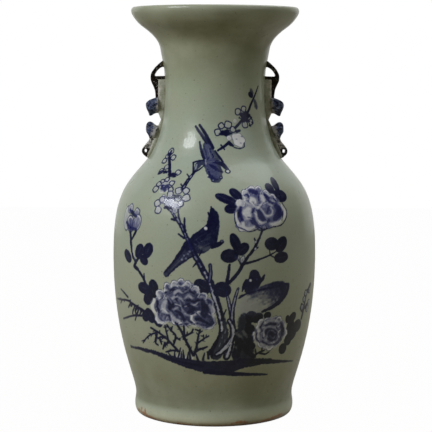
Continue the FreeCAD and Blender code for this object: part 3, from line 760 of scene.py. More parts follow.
# %% Paint the lower bird and the small one
# the lower bird's body, head and wing
strokes("cobalt", 0.74, [(213.5, 217.5, 5.4, 213, 226, 6.6, 208, 236, 10, 200, 243, 11)], rough=0.7)
strokes("cobalt", 0.95, [(213.4, 214.5, 4.4, 213.6, 220.5, 5.9, 210, 229, 4.6)], rough=0.9)
strokes("cobalt", 0.9, [(209, 229, 3.6, 198, 238, 5.2, 189, 247, 4.8)], rough=1.4)
strokes("cobalt", 0.88, [(215, 232, 3.4, 213, 244, 3.8)])
strokes("cobalt", 0.97, [(213.6, 215, 4.2, 212, 209.5, 1.8)])
# its crest
twigs([(212, 212, 1.3, 211, 206.8, 0.5), (209.5, 216, 1, 208.2, 212.6, 0.6)])
# the long tail, with wing bars at its root
strokes("cobalt", 0.68, [(191, 247, 8.2, 184, 256, 5.2, 175, 265, 3.4, 166, 274, 2.9)], rough=0.9)
strokes("cobalt", 0.99, [
    (186, 243.5, 2.2, 179.5, 254, 1.9, 171.5, 264.5, 1.3, 165, 272, 1.1)], rough=0.9)
strokes("cobalt", 0.97, [(194, 255.5, 0.9, 185, 260.5, 0.8, 176, 267.5, 0.7, 168, 275, 0.7)], rough=0.7)
strokes("wipe", 0.3, [(190, 250, 0.5, 181, 259.5, 0.6, 171, 269.5, 0.4)], soft=1)
beads([
    (184, 255.5, 1.5), (188, 254, 1.5), (186, 258.5, 1.5), (189.5, 251.5, 1.5),
    (182, 259.5, 1.5)], shade=0.45, line=0.8, slip=0.55)
# the beak, its drop and the eye
strokes("cobalt", 0.97, [(212, 246.5, 2.2, 218, 244.5, 2.6, 222.5, 242, 1.5)])
beads([(221.8, 241.4, 1.2)], shade=0.2, line=0.9, slip=0.6)
petals([(205.8, 228.3, 1.9, 1, 0, 0, 0, 0, 0.1, 1)])
# feathers wiped and dotted into the breast
strokes("wipe", 0.35, [
    (194, 241, 0.3, 201, 236, 0.4, 206, 233.5, 0.25), (195.5, 245, 0.3, 202, 241, 0.4, 208, 239, 0.25),
    (198, 249, 0.3, 205, 245.5, 0.4, 211, 243, 0.25)], soft=1.2)
strokes("slip", 0.45, [
    (196.5, 240, 0.35, 199.5, 243.5, 0.3), (194, 243.5, 0.35, 197.5, 246.5, 0.3),
    (199, 238.2, 0.35, 201.5, 241.4, 0.3)])
strokes("wipe", 0.35, [(199, 246, 1.6, 204, 249.5, 2, 210, 247, 1.4)], soft=2)
# the small bird behind the rock
strokes("cobalt", 0.9, [(254.5, 274.5, 4.8, 254.5, 281, 7.4, 251, 287, 7.6)], rough=0.8)
strokes("cobalt", 0.93, [(247, 281, 2, 244, 286, 1.8, 242.5, 291, 0.8)], rough=0.6)
strokes("cobalt", 0.9, [(257, 281, 3, 262, 279.5, 2, 264.3, 275.4, 1)], rough=0.6)
petals([(250.5, 280.4, 1.5, 1, 0, 0, 0, 0, 0.1, 1)])
beads([(256.8, 279.2, 1.1)], shade=0.6, line=0.98, slip=0.3)
print("birds:", painted())

# %% [markdown]
# Peonies are the masses of white. A flower could be built petal by petal, but the painter works over
# the whole head: slip with a broad blue wash, then full strokes in the folds, then a loaded brush of
# slip for each petal's turned edge, with a thin dark line under it. The strokes follow the
# photograph. A mass has rows of across, down, reach, squash, lean and the strength of its wash.

# %% One peony
LINE_UNDER_STEP = 2.3
LINE_UNDER_WIDTHS = [0.5, 0.8, 0.5]


def peony(mass, folds, edges, wash, fold, white, line_under):
    """wash, fold, white and line_under are how strong the washes, folds, edges and lines are."""
    for across, down, reach, squash, lean, strength in mass:
        petal((across, down), reach, squash, lean, wash * strength, 9, 0.04, 0.5, line_width=0.6)
    strokes("cobalt", fold, folds, soft=3.2, rough=1.5)
    heart = np.array(mass[0][:2])
    for row in edges:
        marks, widths = marks_of(row)
        inward = heart - marks
        under = marks + LINE_UNDER_STEP * inward / np.hypot(*inward.T)[:, None]
        brush("cobalt", under, LINE_UNDER_WIDTHS, line_under, soft=1.8, rough=1.4)
        brush("slip", marks, widths, white, soft=2.8, rough=1.0)
    print("peony:", painted())

# %% [markdown]
# The upper peony is the whitest: its edges are nearly pure slip, and only its folds are strong blue.
# Its stem runs down to the tree, with leaves, small twigs and buds along it.

# %% Paint the upper peony
UPPER_MASS = [
    (262, 211, 24.5, 0.72, -90, 0.95), (257, 196.5, 14.5, 0.62, -80, 0.95),
    (248.5, 221.5, 13.5, 0.68, -110, 0.9), (252, 190.5, 5, 0.8, -10, 0.95),
    (258.5, 190, 4.6, 0.8, 15, 0.9), (245.5, 194, 5, 0.8, -35, 0.75), (265.5, 194, 4.6, 0.8, 30, 0.9),
    (272, 198.5, 5, 0.8, 45, 0.95), (240.5, 203.5, 5, 0.9, -60, 0.3)]
UPPER_FOLDS = [
    (240, 208, 2, 240, 215, 2.6, 242.5, 221, 1.6), (252, 220, 3.2, 257, 226, 2),
    (258, 211, 2.4, 261, 216, 3.8, 264, 220, 2.6), (268.5, 208.5, 1.9, 267, 212.5, 1.6),
    (276, 206, 3, 279, 212, 4.4, 275, 219, 3.2), (250, 191, 2.4, 256, 192.5, 3),
    (265, 195, 2, 269.5, 200.5, 2.6), (255.5, 206, 1.1, 252.5, 212, 1.5),
    (263, 224, 1.4, 269, 220.5, 2), (248, 195.5, 0.8, 249.5, 199, 1.1),
    (259, 194, 0.9, 258.5, 200, 1.2), (272, 203, 1.4, 277, 203, 1)]
UPPER_EDGES = [
    (238, 207, 1.2, 235.6, 213, 1.47, 237, 221, 1.5, 240.5, 225.5, 1.3),
    (243, 223.5, 2.2, 244, 228, 2.8, 250, 228.5, 2.4, 254, 226.5, 1.2),
    (248, 210, 3.4, 246.5, 213, 4.4, 249, 215.5, 3), (252, 199.5, 3.2, 254.5, 202, 2.6),
    (261.5, 196.5, 2.2, 263, 200, 2.6), (237.5, 203.8, 2.2, 239.5, 203.4, 2.6),
    (243.5, 197, 1.5, 246, 200, 1.3), (242.5, 194, 0.9, 246, 192.3, 1),
    (244, 200, 0.8, 249, 204, 0.9, 257, 207.5, 1.2), (250.5, 200, 0.7, 254, 205, 0.9, 258, 208, 1.3),
    (263, 202, 0.8, 260.5, 205, 0.9, 258, 207.5, 1),
    (256, 212, 0.8, 257, 219, 1.3, 261.5, 223, 1.5, 266, 222, 0.9),
    (260, 208, 0.7, 263, 212, 0.86, 266, 215.5, 1.08, 271, 215, 1.12, 272.5, 211, 0.94, 270, 207, 0.7),
    (281.5, 206, 1.2, 284.8, 212, 1.9, 284, 219, 1.3),
    (270.5, 224, 1.6, 276, 223.5, 2.3, 280.5, 221, 1.6), (265.5, 193, 0.8, 270, 196, 0.6),
    (270, 199.5, 0.7, 274.5, 202, 0.5), (251, 187.8, 0.6, 256, 187.4, 0.5),
    (268, 204, 0.7, 272, 205.5, 0.5), (275, 197, 0.8, 279, 201, 0.6), (246, 218.5, 0.9, 251, 219, 0.5)]
leaves([
    (236, 203, 214.5, 194.5, 4.6), (241, 199, 229.5, 188.5, 4.7), (238, 208, 224, 209.5, 5),
    (272, 192, 266.5, 183.5, 4.6), (278, 191, 271.5, 176.8, 3.7), (274, 196, 287.5, 195.5, 5.9)])
peony(UPPER_MASS, UPPER_FOLDS, UPPER_EDGES, wash=0.55, fold=0.9, white=0.9, line_under=0.85)
# the outline of its lower rim, and two hearts hanging there
strokes("cobalt", 0.85, [
    (235.5, 209, 0.4, 234.5, 217, 0.43, 237, 226, 0.47, 243, 229, 0.5, 249, 231.5, 0.47, 256, 230, 0.43,
     260, 226.5, 0.4),
    (265, 229, 0.4, 273, 227, 0.44, 281, 225, 0.48, 285.5, 219, 0.48, 286.5, 211, 0.44, 282, 203, 0.4)])
beads([(260, 228, 2.4), (264, 227.6, 2.4)], shade=0.4, line=0.85, slip=0.32)
# the stem and its side twigs, with small buds
strokes("cobalt", 0.99, [
    (262.5, 230, 1, 259, 239, 1.1, 254.5, 248, 1.3, 247.5, 257.5, 1.4, 242.5, 265, 1.6, 238, 273, 1.6,
     230.5, 281.5, 1.7, 227, 284, 1.5)], rough=0.7)
twigs([
    (262, 229, 0.6, 257, 226, 0.4), (262.5, 230, 0.6, 268, 228.5, 0.4),
    (256.5, 245, 1, 254.5, 238.5, 0.5), (253, 250, 0.8, 258, 247.5, 0.5),
    (243.5, 264, 1.2, 255, 261, 0.93, 263, 258, 0.73, 270, 255, 0.6), (270, 255, 0.5, 269.5, 247, 0.5),
    (270, 255, 0.6, 278, 250.5, 0.4), (270, 255, 0.5, 276, 258.5, 0.5),
    (229.6, 265, 1.1, 228.5, 273, 1.3, 227, 282, 1.5),
    (241.5, 266, 0.6, 238, 259, 0.55, 234, 250, 0.5)])
petals([
    (255.6, 242, 1.5, 0.7, 30, 0.2, 0, 0, 0.3, 1), (255.4, 248.8, 1.5, 0.7, 30, 0.2, 0, 0, 0.3, 1),
    (237, 257, 3.6, 0.55, -40, 0.35, 0, 0, 0.5, 0.5),
    (242.5, 259.5, 3.6, 0.55, 20, 0.35, 0, 0, 0.5, 0.5)])
leaves([
    (239, 251, 231.5, 233, 5), (238.5, 253, 248.5, 244, 5.4), (236, 256, 220.5, 256, 6.9),
    (277, 244, 264.5, 243.5, 6.1), (277.5, 250, 286, 237.5, 5.8), (275, 258.5, 289, 256, 4.9)])

# %% [markdown]
# The left peony is wide, low and the darkest. The blue has run through its slip, so the edges are
# weaker here and the folds are nearly black.

# %% Paint the left peony
LEFT_MASS = [
    (183, 308, 32, 0.55, -90, 0.9), (182, 294, 20.5, 0.62, -90, 0.85),
    (203, 320, 13.5, 0.66, -70, 0.95), (168, 287.5, 5.2, 0.75, -35, 0.75),
    (174.5, 285, 4.8, 0.8, -15, 0.7), (181, 282.5, 4.2, 0.9, 0, 0.75), (187.5, 285.5, 5, 0.8, 15, 0.8),
    (195, 290, 5.4, 0.75, 35, 0.9), (160.5, 294.5, 5.6, 0.8, -55, 0.6),
    (202.5, 297, 5.8, 0.75, 50, 0.95), (161.5, 316.5, 8.6, 0.75, 215, 0.7),
    (177, 317, 8.6, 0.8, 195, 0.85)]
LEFT_FOLDS = [
    (157.5, 299, 1.5, 157.5, 306, 2, 159, 312, 1.4), (169.5, 300, 2.6, 171.5, 307, 4, 172, 313, 2.4),
    (184.5, 304.5, 1.4, 180.5, 309, 2), (188, 304, 2.8, 192, 309, 3.8, 188, 312.5, 2.2),
    (203.5, 302, 3.4, 205, 310, 4.8, 203, 317, 3.4),
    (196, 318.5, 1.8, 203, 320.5, 3.2, 211, 324.5, 2.4),
    (165.5, 293, 1, 171, 290.5, 1.5, 178, 289, 0.9), (185, 289.5, 1.2, 190.5, 291, 1.7, 195, 295, 1.3),
    (180, 295, 0.9, 176.5, 300, 1.5, 180, 302, 0.9), (187, 300, 1.5, 193, 301.5, 2.2, 199, 300, 1.4),
    (164.5, 314, 1, 169, 315.5, 1.7, 170.5, 320, 1.2),
    (175, 310.5, 1.8, 180, 313, 2.4, 184.5, 319, 1.5), (183, 291, 1, 184, 295, 0.8),
    (167, 296, 1, 170, 299, 1.3)]
LEFT_EDGES = [
    (154.6, 299.5, 1.8, 152.8, 305, 2.8, 154, 311, 2.4, 157, 313.5, 1.1),
    (166.2, 301.5, 1.6, 163.8, 305.5, 3, 164.2, 310, 2.8, 167.8, 313.5, 1.1),
    (156.5, 315, 1.8, 157.5, 319.5, 2.5, 162, 322.3, 2, 167.5, 321, 1),
    (171, 312.5, 1.6, 173, 317, 2.3, 178, 320.5, 1.7, 184.5, 323, 0.8),
    (157, 293, 1.8, 160, 296.5, 2.3, 158, 299, 1.2),
    (162.5, 291.5, 0.8, 166, 289.8, 1, 169, 291.5, 0.6),
    (170, 287, 1.1, 174, 284.8, 1.9, 178.5, 286.5, 0.9),
    (177, 282.2, 0.5, 179.5, 280.6, 0.7, 182, 282, 0.5),
    (182, 286.3, 1, 186, 284.3, 1.8, 190.5, 286.8, 1), (192, 290, 0.9, 196, 289, 1.7, 198.5, 293, 1),
    (199, 297.3, 0.8, 204, 297, 1.6, 206.8, 303, 1),
    (209.8, 305, 1.5, 212.6, 311, 2.4, 213.4, 317.5, 1.3),
    (167.5, 296.5, 0.9, 170, 300, 0.9, 171.5, 302.5, 0.5),
    (172.3, 298.5, 0.8, 176, 296.3, 1.2, 181, 298.8, 1.1, 184.5, 303.2, 0.6),
    (174.5, 293.3, 1.1, 178, 290.6, 2, 181.5, 292.3, 1),
    (185, 298.3, 1, 189, 295.6, 2, 192.5, 298.3, 1),
    (180.3, 303, 0.8, 182, 309, 0.96, 186, 314, 1.06, 192, 316, 1.02, 197, 313.6, 0.84, 200, 311, 0.6),
    (191.5, 304, 1.1, 197, 306.3, 0.7), (173.5, 309.5, 1.5, 178, 307.6, 0.9),
    (183, 293, 0.5, 188, 290, 0.4), (198.5, 325, 0.7, 205, 327.3, 0.9, 212, 328, 0.6),
    (187, 321.5, 0.9, 193, 325.5, 0.9, 196, 326, 0.5), (198, 313.5, 0.5, 204, 319, 0.5, 209, 322, 0.4),
    (208.5, 329, 0.8, 213.5, 326, 1), (181, 323, 0.6, 186, 326.5, 0.8, 189, 330, 0.4)]
leaves([
    (208, 291, 194.5, 281, 6.8), (228, 292, 215, 286, 7.6), (149, 290, 137.5, 285.5, 5.2),
    (155, 294, 151.5, 279.5, 5.4), (150, 295, 145.5, 303.5, 5.4), (147, 310, 154, 322.5, 5.2),
    (146, 312, 145, 321, 4.4), (155, 320, 162, 326, 3.9), (151, 288, 156, 298, 4.2)])
peony(LEFT_MASS, LEFT_FOLDS, LEFT_EDGES, wash=0.85, fold=0.97, white=0.7, line_under=0.97)

# %% [markdown]
# The right peony is small and round, with full dark leaves that stand all round it.

# %% Paint the right peony
RIGHT_MASS = [
    (270.5, 333, 17.5, 0.92, -90, 0.85), (258.5, 335, 7.2, 0.7, -80, 0.55),
    (262, 323.5, 5.4, 0.75, -45, 0.6), (278, 322, 5.6, 0.75, 25, 0.7), (282.5, 333, 6.4, 0.7, 95, 0.75),
    (270, 344, 6.6, 0.75, 180, 0.65)]
RIGHT_FOLDS = [
    (267.5, 331, 4, 273, 335, 5.4, 270, 339.5, 3.6), (263, 322, 0.8, 260.8, 327, 1.1, 262, 331, 0.8),
    (280.5, 323, 1.2, 282.5, 330, 1.8, 280.5, 338, 1.3),
    (265.5, 325.3, 1.1, 271.5, 323.8, 1.5, 278, 325, 1.1), (260, 336, 1.1, 262, 341, 1.5, 267, 344, 1),
    (256, 330, 0.7, 256.2, 336, 0.9), (276, 342.5, 1, 281, 339.5, 1.1),
    (270, 345, 0.7, 276, 344.5, 0.6)]
RIGHT_EDGES = [
    (264.5, 323, 1.2, 271, 320.2, 1.8, 278.5, 321.5, 1.1),
    (262, 321, 1, 257.8, 326, 1.9, 258.8, 331, 1.4),
    (259.5, 330, 1.3, 257.5, 334, 2.1, 261.3, 339.5, 1.3),
    (254.3, 333, 0.9, 253.8, 339, 1.5, 257.8, 344, 1),
    (261, 343.5, 1.1, 267, 347, 1.7, 274, 346.6, 1.2, 279.5, 343.4, 0.8),
    (283, 322, 0.8, 285.7, 328, 1.2, 285, 335, 1, 281.5, 341, 0.8),
    (263.6, 336, 0.7, 264.3, 330, 1, 269, 326.8, 1, 275, 327.8, 0.82, 278.7, 332, 0.6),
    (267, 336.5, 0.6, 268, 331.8, 0.73, 272, 330.3, 0.7, 275.2, 333, 0.5),
    (266, 340, 0.8, 271, 342.4, 0.87, 276, 341, 0.8, 278.3, 337, 0.6),
    (270, 336, 0.6, 273, 338, 0.6, 275, 336, 0.6), (277, 324.5, 0.5, 280, 329, 0.4)]
leaves([
    (254, 317, 246, 316.5, 5.4), (253, 320, 263, 315, 4.4), (265, 316, 271, 314.5, 3.2),
    (252, 331, 246, 327, 4.8), (251, 341, 245, 337, 4.4), (254, 347, 247, 344.5, 3.6),
    (288, 322, 287, 315.5, 2.4), (290, 320, 296, 313.5, 3.6), (294, 326, 302, 325, 4.6),
    (288, 327, 294, 321.5, 3.6), (288, 329, 296, 336, 7.2), (286, 338, 290, 344, 3.8),
    (281, 346, 285, 352.5, 4.2)], fuller=1.1, dark=0.98, vein=0.15)
peony(RIGHT_MASS, RIGHT_FOLDS, RIGHT_EDGES, wash=0.75, fold=0.95, white=0.62, line_under=0.95)

# %% [markdown]
# What is left is thin: the bud on its long stem at the left, hanging sprays, and bare twigs rising
# from the ground.

# %% Paint the bud and the sprays
# the bud, one petal behind the other
petals([(127, 218, 9, 0.5, -8, 0.12, 0, 0, 0.45, 0.55)])
beads([(130.8, 208.5, 3.4)], shade=0.3, line=0.6, slip=0.8)
beads([(137, 212.5, 3.6)], shade=0.35, line=0.7, slip=0.8)
petals([(137, 222.5, 7, 0.7, 15, 0.4, 0, 0, 0.7, 0.8)])
strokes("cobalt", 0.75, [(130.5, 210, 1.2, 134, 214, 1.8, 136.5, 216, 1.3)], soft=1.6, rough=1.2)
petals([(130.5, 223.5, 6.4, 0.75, -20, 0.7, 0, 0, 0.85, 0.75)])
strokes("cobalt", 0.8, [(127, 222, 1.2, 130, 227.5, 2, 136, 229, 1.5)], soft=2.2, rough=1)
# its long stem, with one light side
strokes("cobalt", 0.97, [
    (130.5, 232, 1.5, 131.4, 247, 1.3, 133, 256, 1.2, 135.6, 262, 1.3, 134.5, 266, 1.3, 138, 270, 1.2,
     142, 276, 1.1, 145.8, 284, 1.2)], rough=0.8)
strokes("slip", 0.55, [(132.5, 248, 0.6, 134, 256, 0.7, 135, 260, 0.4)])
twigs([
    (136, 231, 1.2, 133.5, 236, 0.95, 131.5, 240, 0.7),
    (135.5, 262, 1.1, 139, 258, 0.85, 143, 257, 0.6), (144.5, 282, 0.9, 144, 274, 0.6),
    (134.5, 266, 1.4, 138, 269, 1)])
leaves([
    (130.5, 261, 124.8, 250, 3.9), (137, 256, 142.3, 244.5, 5), (145, 256, 151.4, 243.4, 5.4),
    (141, 257, 147.5, 264, 4)])
# the hanging sprays
SPRAY = (117.5, 298.5, 0.6, 122, 299.6, 0.72, 128, 300.5, 0.84, 134.5, 305, 0.96, 140, 308.5, 1.08,
         145.5, 312, 1.2)
twigs([
    (121, 289, 0.45, 124.5, 293, 0.62, 127.8, 297, 0.8), SPRAY,
    (123.5, 318.5, 0.6, 128, 317, 0.68, 134, 315.5, 0.75, 140, 315.5, 0.82, 146, 316, 0.9),
    (122, 299.6, 0.7, 120.8, 303, 0.4), (131, 302.5, 1, 128.5, 307, 0.5),
    (135, 305.5, 0.8, 132.8, 312, 0.65, 133.4, 316, 0.5),
    (139, 308, 0.9, 137.4, 313, 0.7, 135.2, 320, 0.5), (137.5, 307, 1.3, 135.5, 310, 1, 136, 314, 0.7),
    (142, 310, 1.2, 140, 314, 0.6), (132, 303.5, 1.1, 131, 306, 0.6)])
print("bud and sprays:", painted())

# %% [markdown]
# Bare twigs rise from the ground under the left peony. Their little side twigs could be listed one by
# one, but a rule does it as the painter's hand did: it flicks them off each stem, left and right in
# turn, never quite at the same angle.

# %% Paint the bare twigs and the grass
SPUR_GAP, SPUR_REACH = 4.5, 3.2
TWIGS = [
    (193.5, 355.5, 1.3, 189, 347, 1.2, 184.4, 337.8, 1.1, 180.6, 330, 1, 175.6, 322.8, 0.9),
    (184.4, 334, 0.9, 183.9, 325.6, 0.7), (184.8, 336, 1.1, 191, 333, 0.9, 193, 329.4, 0.7),
    (178, 351, 1.2, 173.3, 345.6, 1.05, 165.6, 337.8, 0.9, 157.8, 332, 0.85, 151, 327.8, 0.8),
    (168, 339, 0.9, 166, 330, 0.75, 165, 325.6, 0.6),
    (173.5, 345, 0.9, 175.6, 336, 0.9, 170.5, 330, 0.83, 167, 325, 0.7),
    (158, 332, 0.8, 151, 334.5, 0.67, 146.5, 338, 0.53, 143, 343, 0.4),
    (153, 333.5, 0.5, 151, 336.5, 0.3),
    (194, 355, 1.2, 196.7, 346, 1, 197.8, 338.5, 0.87, 200, 330, 0.8),
    (196.5, 344, 0.9, 200.5, 341, 0.83, 204.4, 338.5, 0.77, 208.5, 336, 0.7),
    (195.6, 352, 1.1, 199, 349.5, 1.17, 203, 348.5, 1.03, 207, 346.8, 0.7),
    (199, 331, 0.7, 195.5, 329.5, 0.5), (199.5, 333, 0.6, 202.5, 331, 0.4),
    (204, 339, 0.8, 203.5, 335, 0.5), (171, 331, 0.8, 172.5, 326.5, 0.5),
    (176, 338, 0.8, 180, 340, 0.6), (183.5, 339, 0.9, 187, 341, 0.4),
    (166, 338, 0.9, 161, 337, 0.8, 158, 338.5, 0.7), (178, 351, 1, 172, 350.5, 0.8, 166, 352, 0.6),
    (157, 334, 1, 155.5, 342, 1.1, 158, 345, 0.7), (160, 339, 1.1, 161.5, 344, 0.8),
    (165, 343, 1.2, 163, 349, 0.6), (168, 342, 1.2, 165.5, 345.5, 0.7)]


def spurs(row):
    """Short side twigs, left and right in turn, as the brush flicked them off the stem."""
    stem = flowing(marks_of(row)[0], 0.5)
    for turn, place in enumerate(range(int(SPUR_GAP), len(stem) - 4, int(2 * SPUR_GAP))):
        ahead = stem[place + 3] - stem[place]
        lean = math.atan2(ahead[1], ahead[0]) + (1 if turn % 2 else -1) * rng.uniform(0.7, 1.1)
        length = SPUR_REACH * rng.uniform(0.6, 1.1)
        end = stem[place] + length * np.array([math.cos(lean), math.sin(lean)])
        twigs([(*stem[place], 0.7, *end, 0.3)])


for row in TWIGS:
    twigs([row], 0.99)
    spurs(row)
spurs(SPRAY)
# grass on the ground, with slip between its blades
twigs([
    (175, 359, 1.1, 174.5, 351, 0.5), (178, 359, 1.1, 180.5, 348, 0.5),
    (181, 359.5, 1.1, 181.5, 352, 0.5), (184, 359.5, 1.1, 183, 350, 0.5),
    (187, 360, 1.1, 188.5, 352, 0.5), (190.5, 360, 1.1, 189, 349.5, 0.5),
    (198, 360.5, 1.1, 196, 354, 0.5), (203, 360, 1.1, 204.5, 353, 0.5),
    (208.5, 358.5, 1.1, 207.5, 351.5, 0.5), (212, 357, 1.1, 213.5, 350, 0.5),
    (172, 358, 1.1, 168.5, 353, 0.5)], 0.93)
strokes("slip", 0.6, [
    (179.5, 357, 0.8, 180.7, 354.6, 0.4), (186, 358, 0.8, 187.2, 355.6, 0.4),
    (192.5, 358.5, 0.8, 193.7, 356.1, 0.4), (176.8, 356.5, 0.8, 178, 354.1, 0.4)])
print("twigs:", painted())

# %% [markdown]
# The pierced rock is slip on its left and deep blue on its right, with a second, darker rock below
# it. One broad patch carries that change, since separate strokes would break it up.

# %% Paint the rock
rows, cols, depth, tip, side = patch((263.5, 299), 30.5, 0.41, 67, 2, 0.04)
body = np.clip(0.5 + (depth + 0.8 * bleed[rows, cols]) / np.where(tip < 0, 5.0, 1.6), 0, 1)
lay("slip", rows, cols, 0.3 * body * np.clip(0.9 - 0.6 * tip, 0, 1))
wash = 0.1 + 0.85 * np.clip(0.2 + 1.05 * tip - 0.45 * side + 0.5 * bleed[rows, cols], 0, 1)
lay("cobalt", rows, cols, body * wash)
# its dark right edge and top, then light across it
strokes("cobalt", 0.97, [
    (262, 312, 0.9, 273, 306.5, 1.8, 281, 300, 2.2, 286.5, 292, 2,
     288.6, 284.5, 1.2)], soft=1.6, rough=0.9)
strokes("cobalt", 0.95, [(240, 296, 0.5, 258, 290.5, 0.8, 275, 286.5, 1.5, 288, 284, 1.2)], rough=0.8)
strokes("slip", 0.36, [
    (247, 298, 0.5, 256, 294, 0.9, 266, 292, 0.4), (250, 305, 0.5, 260, 300, 0.9, 271, 296, 0.4),
    (254, 311, 0.5, 264, 306.5, 0.9, 274, 301, 0.4), (258, 296, 0.5, 262, 295.5, 0.9, 266, 295, 0.4),
    (262, 303, 0.5, 266, 301.75, 0.9, 270, 300.5, 0.4)], soft=2, rough=1.6)
strokes("cobalt", 0.8, [(239, 298, 0.7, 247, 293.5, 1, 254, 292, 0.9)], rough=0.8)
# the lower rock, with hollows wiped out of it
strokes("cobalt", 0.7, [(244, 320, 6, 245, 334, 8, 245, 346, 9, 243, 356, 11)], soft=2.4, rough=2.6)
strokes("cobalt", 0.9, [(236.5, 330, 1, 237, 343, 2.2, 236, 355, 4.5)], soft=1.2, rough=1.4)
strokes("wipe", 0.5, [
    (238, 319, 1.3, 237, 323.5, 1.6, 236, 328, 1), (236, 333, 1.3, 241, 338, 1.6, 238, 345, 1),
    (243, 331, 1.3, 245, 334, 1.6, 247, 337, 1),
    (235.5, 347, 1.3, 238.25, 348.5, 1.6, 241, 350, 1)], soft=1.8, rough=1)
strokes("cobalt", 0.99, [
    (240, 340, 2.4, 239.75, 345, 3, 239.5, 350, 2.2), (249, 318, 2.4, 248.5, 324, 3, 248, 330, 2.2),
    (242, 344, 2.4, 248, 352, 3, 254, 357, 2.2)], rough=1.6)
print("rock:", painted())

# %% [markdown]
# A thin sprig with berries climbs beside the rock. It stands where the wall turns away from the eye,
# so its marks are laid wider than they look.

# %% Paint the sprig and the grass at the right
twigs([(301.5, 318, 1.2, 303.5, 309, 1.13, 306, 296, 1.03, 310, 284, 0.9)])
leaves([
    (303, 309, 301, 303, 1.6), (304.5, 308, 309, 302.5, 1.8), (304.8, 298, 307.5, 289, 1.7),
    (307.5, 292, 311, 283, 1.7), (303, 312, 299.8, 306.5, 1.5)], dark=0.85, vein=0.25)
beads([
    (301.8, 307, 2.2), (307, 308, 2.4), (308.3, 302.5, 2), (304.2, 299, 2.2), (305.6, 293, 2),
    (309.3, 290, 1.9)], shade=0.35, line=0.98, slip=0.75)
twigs([
    (253, 357, 1.1, 258, 353, 0.9, 264, 350.5, 0.7), (256, 353, 0.8, 255, 349, 0.4),
    (259, 353, 0.9, 265, 354, 0.7, 269, 352, 0.5), (262, 351, 0.7, 262, 347.5, 0.4)])
print("sprig:", painted(), "and", painted("slip"))

# %% [markdown]
# The cobalt is bluer high up and on the left, and greyer in the left peony, in the middle leaves and
# low on the right. These broad soft strokes say where it is drawn greyer.

# %% Where the cobalt is drawn greyer
GREYING_STROKES = [(0.85, [(166, 302, 19, 183, 305, 24, 202, 316, 18)]), (0.7, [(222, 320, 14, 222, 350, 18)]),
         (1.0, [(250, 335, 26, 290, 332, 26, 306, 305, 14), (255, 362, 10, 295, 361, 10)]),
         (0.45, [(236, 250, 20, 282, 248, 20)]), (0.4, [(180, 340, 10, 230, 366, 10)])]
for strength, rows in GREYING_STROKES:
    strokes("greying", strength, rows, soft=16, rough=0)
print("greyed:", painted("greying"))

# %% [markdown]
# The foot was wiped clean of glaze where it stands, and the bare clay at the edge burned brown. Iron
# in the clay also bled through beside the ring, most of all on the left.

# %% Iron at the foot
RUST_SPOTS = [(145.5, 413.5, 2.2), (147.5, 417, 1.6), (142.5, 408.5, 1.3), (150, 420, 1.8),
              (146, 410.5, 1.4), (158, 423, 1.6), (232, 424, 1.4), (262, 421.5, 1.5), (286, 416, 1.2)]
for across, down, reach in RUST_SPOTS:
    rows, cols, depth, *_ = patch((across, down), reach, 0.8, 30, 3, 0.2)
    lay("rust", rows, cols, 0.8 * np.clip(0.5 + depth / 2.2 + 0.4 * bleed[rows, cols], 0, 1))
strokes("rust", 0.85, [
    (139, 409, 0.7, 143, 412.5, 1.54, 148, 416.5, 1.68, 156, 420, 0.84),
    (231, 423.2, 0.56, 240, 422, 1.12, 247, 422.3, 0.7),
    (262, 421.3, 0.84, 271, 418.6, 1.26, 281, 413.8, 0.7),
    (176, 423.4, 0.56, 190, 424.6, 0.7)], soft=2, rough=1.6)
print("foot:", painted("rust"))

# %% [markdown]
# The skin is the outline turned round the axis, and every mark rides on it: slip stands a third of a
# millimetre proud, and the thrower's fingers left rings about as deep as half a hair. The handles
# were stuck on before glazing, so glaze ran into the corner beside them and pooled there.

# %% The glazed skin
SLIP_THICKNESS, RING_DEPTH, RING_FADE = 0.34, 0.04, 20.0
SHARP_ANGLE = math.radians(38)
HANDLE_LEVELS, HANDLE_HALF_WIDTH, POOL_WIDTH = (367.0, 506.0), 10.0, 4.5


def softened(field):
    field = (field + np.roll(field, 1, 0) + np.roll(field, -1, 0)) / 3
    return (field + np.roll(field, 1, 1) + np.roll(field, -1, 1)) / 3


climb = np.gradient(outside, axis=0)
climb /= np.hypot(*climb.T)[:, None]
# close rings that come and go up the wall, with wider ones under them
rings = np.sin(row_run / 2.1) * np.sin(row_run / 31 + 1) + 0.8 * np.sin(row_run / 5.3 + 2)
rings *= RING_DEPTH * np.clip((row_run[-1] - row_run) / RING_FADE, 0, 1)
rings *= np.clip(row_run / RING_FADE - 1, 0, 1)
lift = np.zeros((len(outline), len(angles)))
lift[:row_count] += rings[:, None]
lift[:row_count, :front_count] += SLIP_THICKNESS * softened(paint["slip"])
facing = np.zeros_like(outline)
facing[:row_count] = np.column_stack([climb[:, 1], -climb[:, 0]])
radius = outline[:, :1] + lift * facing[:, :1]
level = outline[:, 1:] + lift * facing[:, 1:]
skin_points = np.stack([radius * np.sin(angles), -radius * np.cos(angles), level], axis=2) * MM

beside = np.abs(radius * np.cos(angles)) - HANDLE_HALF_WIDTH
in_span = (level > HANDLE_LEVELS[0]) & (level < HANDLE_LEVELS[1])
pool = np.where(in_span, np.clip(1 - np.abs(beside) / POOL_WIDTH, 0, 1), 0.0)
pool[row_count:] = 0


